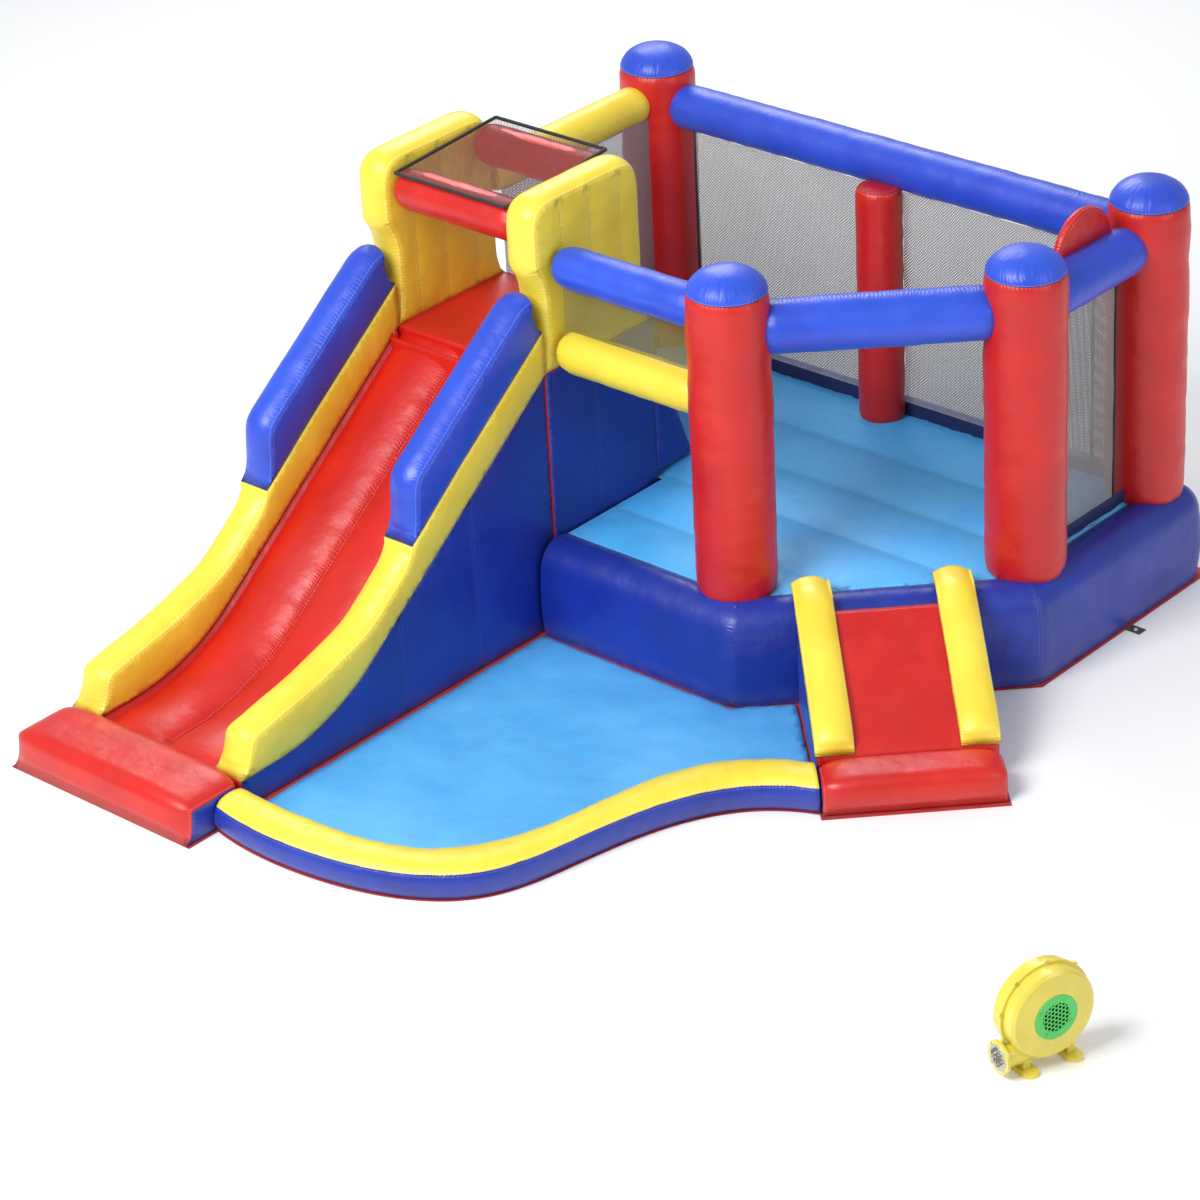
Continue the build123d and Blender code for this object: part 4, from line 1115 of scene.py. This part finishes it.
ramp_body_loop = cad_loops("ramp_body", ALONG, OUT)[0]
more = dict(height=0.014, side_height=0.014, corner=1, strips=30, side_paint=1, reach=0.05)
ramp_cell("ramp_body", BLUE_SIDES, "fabric_red", **more)
more = dict(height=0.048, side_height=0.006, corner=6, seed=131, pucker=0.003, reach=0.05)
for side in ("left", "right"):
    ramp_cell(f"ramp_bolster_{side}", [YELLOW], "fabric_yellow", [ramp_body_loop], **more)
more = dict(height=0.038, side_height=0.012, corner=6, strips=34, side_paint=1, reach=0.05)
ramp_cell("ramp_pad", BLUE_SIDES, "fabric_red", **more)

# ---- pool
pool_loop = cad_loops("pool_wall", -UP, X, Y)[0]
pool_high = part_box("pool_wall")[1]
pieces = corner_pieces(pool_loop, 0.012)
pieces.sort(key=lambda p: -arc_lengths(p, False)[-1])
outer_line, inner_line = pieces[:2]
if np.linalg.norm(outer_line[0] - inner_line[0]) > np.linalg.norm(outer_line[0] - inner_line[-1]):
    inner_line = inner_line[::-1]
count = 150
outer_line = along_line(outer_line, np.linspace(0, arc_lengths(outer_line, False)[-1], count))
inner_line = along_line(inner_line, np.linspace(0, arc_lengths(inner_line, False)[-1], count))
wall_run = arc_lengths(outer_line, False)
outer_seam_z, inner_seam_z = pool_high.z - 0.034, pool_high.z - 0.040
skin = Skin()
span = inner_line - outer_line
width = np.linalg.norm(span, axis=1)
across = (1 - np.cos(np.linspace(0, math.pi, 13))) / 2
top = []
for s, rise in zip(across, swell(across, float(width.mean()), 0.036)):
    z = outer_seam_z + (inner_seam_z - outer_seam_z) * s + rise
    top.append(at_height(outer_line + span * (0.03 + 0.92 * s), z + 0.002 * wander(wall_run, 141)))
top = np.stack(top, axis=1)
gap = np.tile((np.minimum(across, 1 - across) * width.mean())[None, :], (count, 1))
skin.grid(top, 1, gap, np.tile(wall_run[:, None], (1, len(across))))
facing = (outer_line - inner_line) / width[:, None]
down = np.linspace(0, 1, 10)
face = []
for t in down:
    xy = outer_line + span * 0.03 + facing * (0.020 * math.sin(math.pi * t) ** 0.8 - 0.004 * t)
    face.append(at_height(xy, outer_seam_z + (0.006 - outer_seam_z) * t))
face = np.stack(face, axis=1)
gap = np.tile((np.minimum(down, 1 - down) * outer_seam_z)[None, :], (count, 1))
skin.grid(face, 0, gap, np.tile(wall_run[:, None], (1, len(down))))
back = []
for t in down:
    xy = outer_line + span * 0.95 - facing * (0.012 * math.sin(math.pi * t))
    back.append(at_height(xy, inner_seam_z + (0.006 - inner_seam_z) * t))
back = np.stack(back, axis=1)
skin.grid(back, 1)
base_rows = np.stack([face[:, -1], back[:, -1]], axis=1)
skin.grid(base_rows, 0)
for k in (0, -1):
    end = np.vstack([top[k], back[k][1:], face[k][::-1][:-1]])
    skin.add(end, [tuple(range(len(end)))], 0)
skin.make("pool_wall", [DEEP_BLUE, YELLOW], ["pool_wall"])

pool_floor_loop = even(cad_loops("pool_floor", -UP, X, Y)[0], 0.03)
pool_floor_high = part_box("pool_floor")[1].z
skin = Skin()
for z, swell_height in ((0.012, pool_floor_high - 0.012), (0.004, 0.0)):
    more = dict(height=swell_height, reach=0.05, step=0.03, pucker=0.0)
    skin.panel([pool_floor_loop], lambda p, z=z: at_height(p, z), UP, **more)
skin.grid(walls(pool_floor_loop, (0.004, 0.012)), 0, around=True)
skin.make("pool_floor", [SKY], ["pool_floor"], roughen=0.004)

# ---- ground sheet, a flat cloth under everything
sheet_loops = cad_loops("ground_sheet", -UP, X, Y)
sheet_loop = even(sheet_loops[0], 0.04)
skin = Skin()
skin.panel([sheet_loop], lambda p: at_height(p, 0.0015), UP, height=0.0, reach=0.1, step=0.08, pucker=0.0)
ground = skin.make("ground_sheet", [GROUND_RED], ["ground_sheet"], roughen=0.0)


# ---- nets
def net(name, normal, across, material, step=0.04):
    """A net sheet on the middle plane of its CAD solid, with a little slack."""
    vertices = np.array([v.co for v in nodes[name].data.vertices])
    reach = vertices @ normal
    middle = (reach.max() + reach.min()) / 2
    loops = [even(loop, step) for loop in cad_loops(name, normal, across)]
    skin = Skin()
    more = dict(height=0.006, reach=0.12, step=step, pucker=0.0)
    for index, loop in enumerate(loops):
        billow = normal * (1 if index % 2 == 0 else -1)
        skin.panel([loop], lambda p: p[:, :1] * across + p[:, 1:] * UP + middle * normal, billow, **more)
    piece = skin.make(name, [material], [name], roughen=0.003)
    return piece


net("net_back", Y, X, NET_GREY)
net("net_right", X, Y, NET_GREY)
net("net_left", X, Y, NET_GREY)
net("net_window", Y, X, NET_DARK, step=0.02)

def band(skin, start, end, low, high, ruffle=0.0, seed=1, step=0.03):
    """An upright strip of cloth between two places in plan, ruffled towards its foot. Gives its area."""
    start, end = np.array(start, float), np.array(end, float)
    length = np.linalg.norm(end - start)
    way = (end - start) / length
    side = np.array((-way[1], way[0]))
    s = np.linspace(0, length, max(3, round(length / step) + 1))
    rows = []
    for share in np.linspace(0, 1, 5):
        wave = ruffle * (1 - share) * wander(s, seed, (0.23, 0.11, 0.06))
        xy = start + way * s[:, None] + side * wave[:, None]
        rows.append(at_height(xy, low + (high - low) * share))
    skin.grid(np.stack(rows, axis=1))
    return length * (high - low)


net_low, net_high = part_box("net_back")
back_y = centre_of("net_back")[1]
right_x = centre_of("net_right")[0]
left_x = centre_of("net_left")[0]
tower_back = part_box("tower_body")[1].y
hem_low, hem_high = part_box("net_hems")

# navy hems along the foot of the three open sides
skin = Skin()
hem_runs = (
    ((post["back_left"][0], back_y), (post["back_right"][0], back_y)),
    ((right_x, post["front_right"][1]), (right_x, post["back_right"][1])),
    ((left_x, tower_back), (left_x, post["back_left"][1])),
)
hem_foot = hem_low.z - 0.006
hem_area = sum(band(skin, *ends, hem_foot, hem_high.z, 0.006, 151 + k) for k, ends in enumerate(hem_runs))
hems = skin.make("net_hems", [NAVY], ["net_hems"], roughen=0.001)

# dark red mesh flaps beside the back posts, each with a black binding where the net starts
skin = Skin()
flap_right_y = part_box("net_right")[1].y
mesh_top = net_high.z
flap_runs = (
    ((post["back_left"][0], back_y), (net_low.x, back_y), (net_low.x, back_y)),
    ((net_high.x, back_y), (post["back_right"][0], back_y), (net_high.x, back_y)),
    ((right_x, flap_right_y), (right_x, post["back_right"][1]), (right_x, flap_right_y)),
)
flap_area = 0.0
bindings = Skin()
for start, end, bound in flap_runs:
    flap_area += band(skin, start, end, hem_high.z, mesh_top)
    heights = np.linspace(hem_high.z, mesh_top, 12)
    stroke(bindings, at_height(np.tile(bound, (12, 1)), heights), 0.007)
flaps = skin.make("net_flaps", [NET_RED], ["net_flaps"], roughen=0.0)

# roof net between the tower's tubes, with a black binding round it
roof_points = np.array([v.co for v in nodes["roof_net"].data.vertices])
roof_low, roof_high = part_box("roof_net")
front_z = roof_points[roof_points[:, 1] < roof_low.y + 0.01, 2].mean()
back_z = roof_points[roof_points[:, 1] > roof_high.y - 0.01, 2].mean()
u = np.linspace(-1, 1, 25)
v = np.linspace(0, 1, 25)
sag = 0.018 * (1 - u[:, None] ** 2) * (1 - (2 * v[None, :] - 1) ** 2)
roof = np.stack([
    np.broadcast_to(u[:, None] * roof_high.x, sag.shape),
    np.broadcast_to(roof_low.y + (roof_high.y - roof_low.y) * v[None, :], sag.shape),
    front_z + (back_z - front_z) * v[None, :] - sag,
], axis=2)
skin = Skin()
skin.grid(roof, 0)
for edge in (roof[0], roof[-1], roof[:, 0], roof[:, -1]):
    stroke(bindings, edge, 0.008)
bindings.make("net_bindings", [WEBBING], roughen=0.0)
roof_piece = skin.make("roof_net", [NET_ROOF], ["roof_net"], roughen=0.0)

# ---- behind the room: sleeve, zip and anchor tabs
sleeve_low, sleeve_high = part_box("inflation_sleeve")
sleeve_r = (sleeve_high.x - sleeve_low.x) / 2
middle_x, middle_z = (sleeve_low.x + sleeve_high.x) / 2, (sleeve_low.z + sleeve_high.z) / 2
s = np.linspace(0, 1, 36)
turn = np.linspace(0, 2 * math.pi, 73)
folds = 0.5 * np.sin(5 * turn + 0.7) + 0.35 * np.sin(8 * turn + 2.1) + 0.15 * np.sin(13 * turn)
rings = []
for t in s:
    limp = t**1.3
    wide = sleeve_r * (0.96 - 0.10 * limp)
    tall = sleeve_r * (0.96 - 0.52 * limp)
    ring_r = 1 + (0.03 + 0.10 * limp) * folds
    centre_z = middle_z * (1 - limp) + (tall * 1.05 + 0.004) * limp
    x = middle_x + wide * ring_r * np.cos(turn) + 0.012 * math.sin(5 * t)
    z = centre_z + tall * ring_r * np.sin(turn)
    y = sleeve_low.y - 0.02 + (sleeve_high.y - sleeve_low.y + 0.01) * t
    rings.append(np.column_stack([x, np.full(len(turn), y), np.maximum(z, 0.004)]))
rings = np.stack(rings)
seam_run = np.tile((turn * sleeve_r)[None, :], (len(s), 1))
seam_gap = np.tile(((1 - s) * (sleeve_high.y - sleeve_low.y))[:, None], (1, len(turn)))
skin = Skin()
skin.grid(rings, 0, seam_gap, seam_run)
sleeve = skin.make("inflation_sleeve", [BLUE], ["inflation_sleeve"])

# the deflation zip: a stitched tape with two rows of teeth
tape_low, tape_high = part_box("zip_tape")
tape_z = (tape_low.z + tape_high.z) / 2
tape_half = (tape_high.z - tape_low.z) / 2
tape_x = np.linspace(tape_low.x, tape_high.x, 41)
skin = Skin()
TAPE_SECTION = (-1.0, -0.004), (-0.96, 0.0015), (-0.3, 0.002), (0.3, 0.002), (0.96, 0.0015), (1.0, -0.004)
rows = []
for share, out in TAPE_SECTION:
    z = tape_z + tape_half * share + 0.0006 * wander(tape_x, 161)
    rows.append(np.column_stack([tape_x, np.full(len(tape_x), tape_low.y + out), z]))
skin.grid(np.stack(rows, axis=1)[::-1], 0)
TOOTH_PITCH = 0.0032
TOOTH = np.array((0.0009, 0.0012, 0.0020))
corners = np.array([(x, y, z) for x in (-1, 1) for y in (-1, 1) for z in (-1, 1)], float)
box_faces = [(0, 1, 3, 2), (4, 6, 7, 5), (0, 4, 5, 1), (2, 3, 7, 6), (0, 2, 6, 4), (1, 5, 7, 3)]
teeth = Skin()
for index, x in enumerate(np.arange(tape_low.x + 0.024, tape_high.x - 0.024, TOOTH_PITCH / 2)):
    z = tape_z + (0.0012 if index % 2 else -0.0012)
    teeth.add(np.array((x, tape_low.y + 0.0033, z)) + corners * TOOTH, box_faces)
teeth.make("zip_teeth", [STEEL], roughen=0.0, weld=0.00001, smooth=False)
tape = skin.make("zip_tape", [WEBBING], ["zip_tape"], roughen=0.0)

# anchor tabs of webbing, each with an eyelet
tab_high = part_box("anchor_tabs")[1]
skin = Skin()
EYELET_SECTION = (0.95, -0.002), (0.98, 0.0015), (1.2, 0.002), (1.5, 0.001), (1.55, -0.001)
eyelets = Skin()
tab_loops = cad_loops("anchor_tabs", -UP, X, Y)
outlines = [loop for loop in tab_loops if abs(signed_area(loop)) > 0.001]
holes = [loop for loop in tab_loops if abs(signed_area(loop)) < 0.001]
for outline in outlines:
    middle_xy = (outline.max(0) + outline.min(0)) / 2
    hole = min(holes, key=lambda loop: np.linalg.norm(loop.mean(0) - middle_xy))
    outline, hole = even(outline, 0.006), even(hole, 0.004)
    more = dict(height=0.0, reach=0.01, step=0.006, pucker=0.0)
    skin.panel([outline, hole], lambda p: at_height(p, tab_high.z), UP, **more)
    for line in (outline, hole):
        skin.grid(walls(line, (tab_high.z, 0.0008)), 0, around=True)
    ring = [at_height(middle_xy + (hole - middle_xy) * r, tab_high.z + z) for r, z in EYELET_SECTION]
    eyelets.grid(np.stack(ring, axis=1), 0, around=True)
eyelets.make("tab_eyelets", [STEEL], roughen=0.0)
tabs = skin.make("anchor_tabs", [WEBBING], ["anchor_tabs"], roughen=0.0)

# ---- blower: the CAD solids carried over, with their materials
BLOWER_LOOKS = {
    "blower_housing_front": YELLOW_SHELL,
    "blower_housing_back": YELLOW_SHELL,
    "blower_feet": YELLOW_SHELL,
    "outlet_duct": YELLOW_SHELL,
    "intake_grille": GREEN_PLASTIC,
    "impeller": FAN_GREY,
    "switch_bezel": BLACK_PLASTIC,
    "power_switch": BLACK_PLASTIC,
    "cable_gland": BLACK_PLASTIC,
    "blower_screws": STEEL,
    "motor_shaft": STEEL,
    "outlet_screen": STEEL,
    "zip_slider": STEEL,
    "motor": MOTOR_CASE,
}
for name, look in BLOWER_LOOKS.items():
    piece = nodes[name]
    for place in piece.material_slots:
        place.material = look
    if not piece.material_slots:
        piece.data.materials.append(look)

floor_size = 40.0
bpy.ops.mesh.primitive_plane_add(size=floor_size)
stage_floor = bpy.context.object
stage_floor.name = "floor"
pale, _, _ = shader("floor_pale", (0.93, 0.93, 0.93), 0.7)
stage_floor.data.materials.append(pale)
stage_floor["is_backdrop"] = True

low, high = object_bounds()
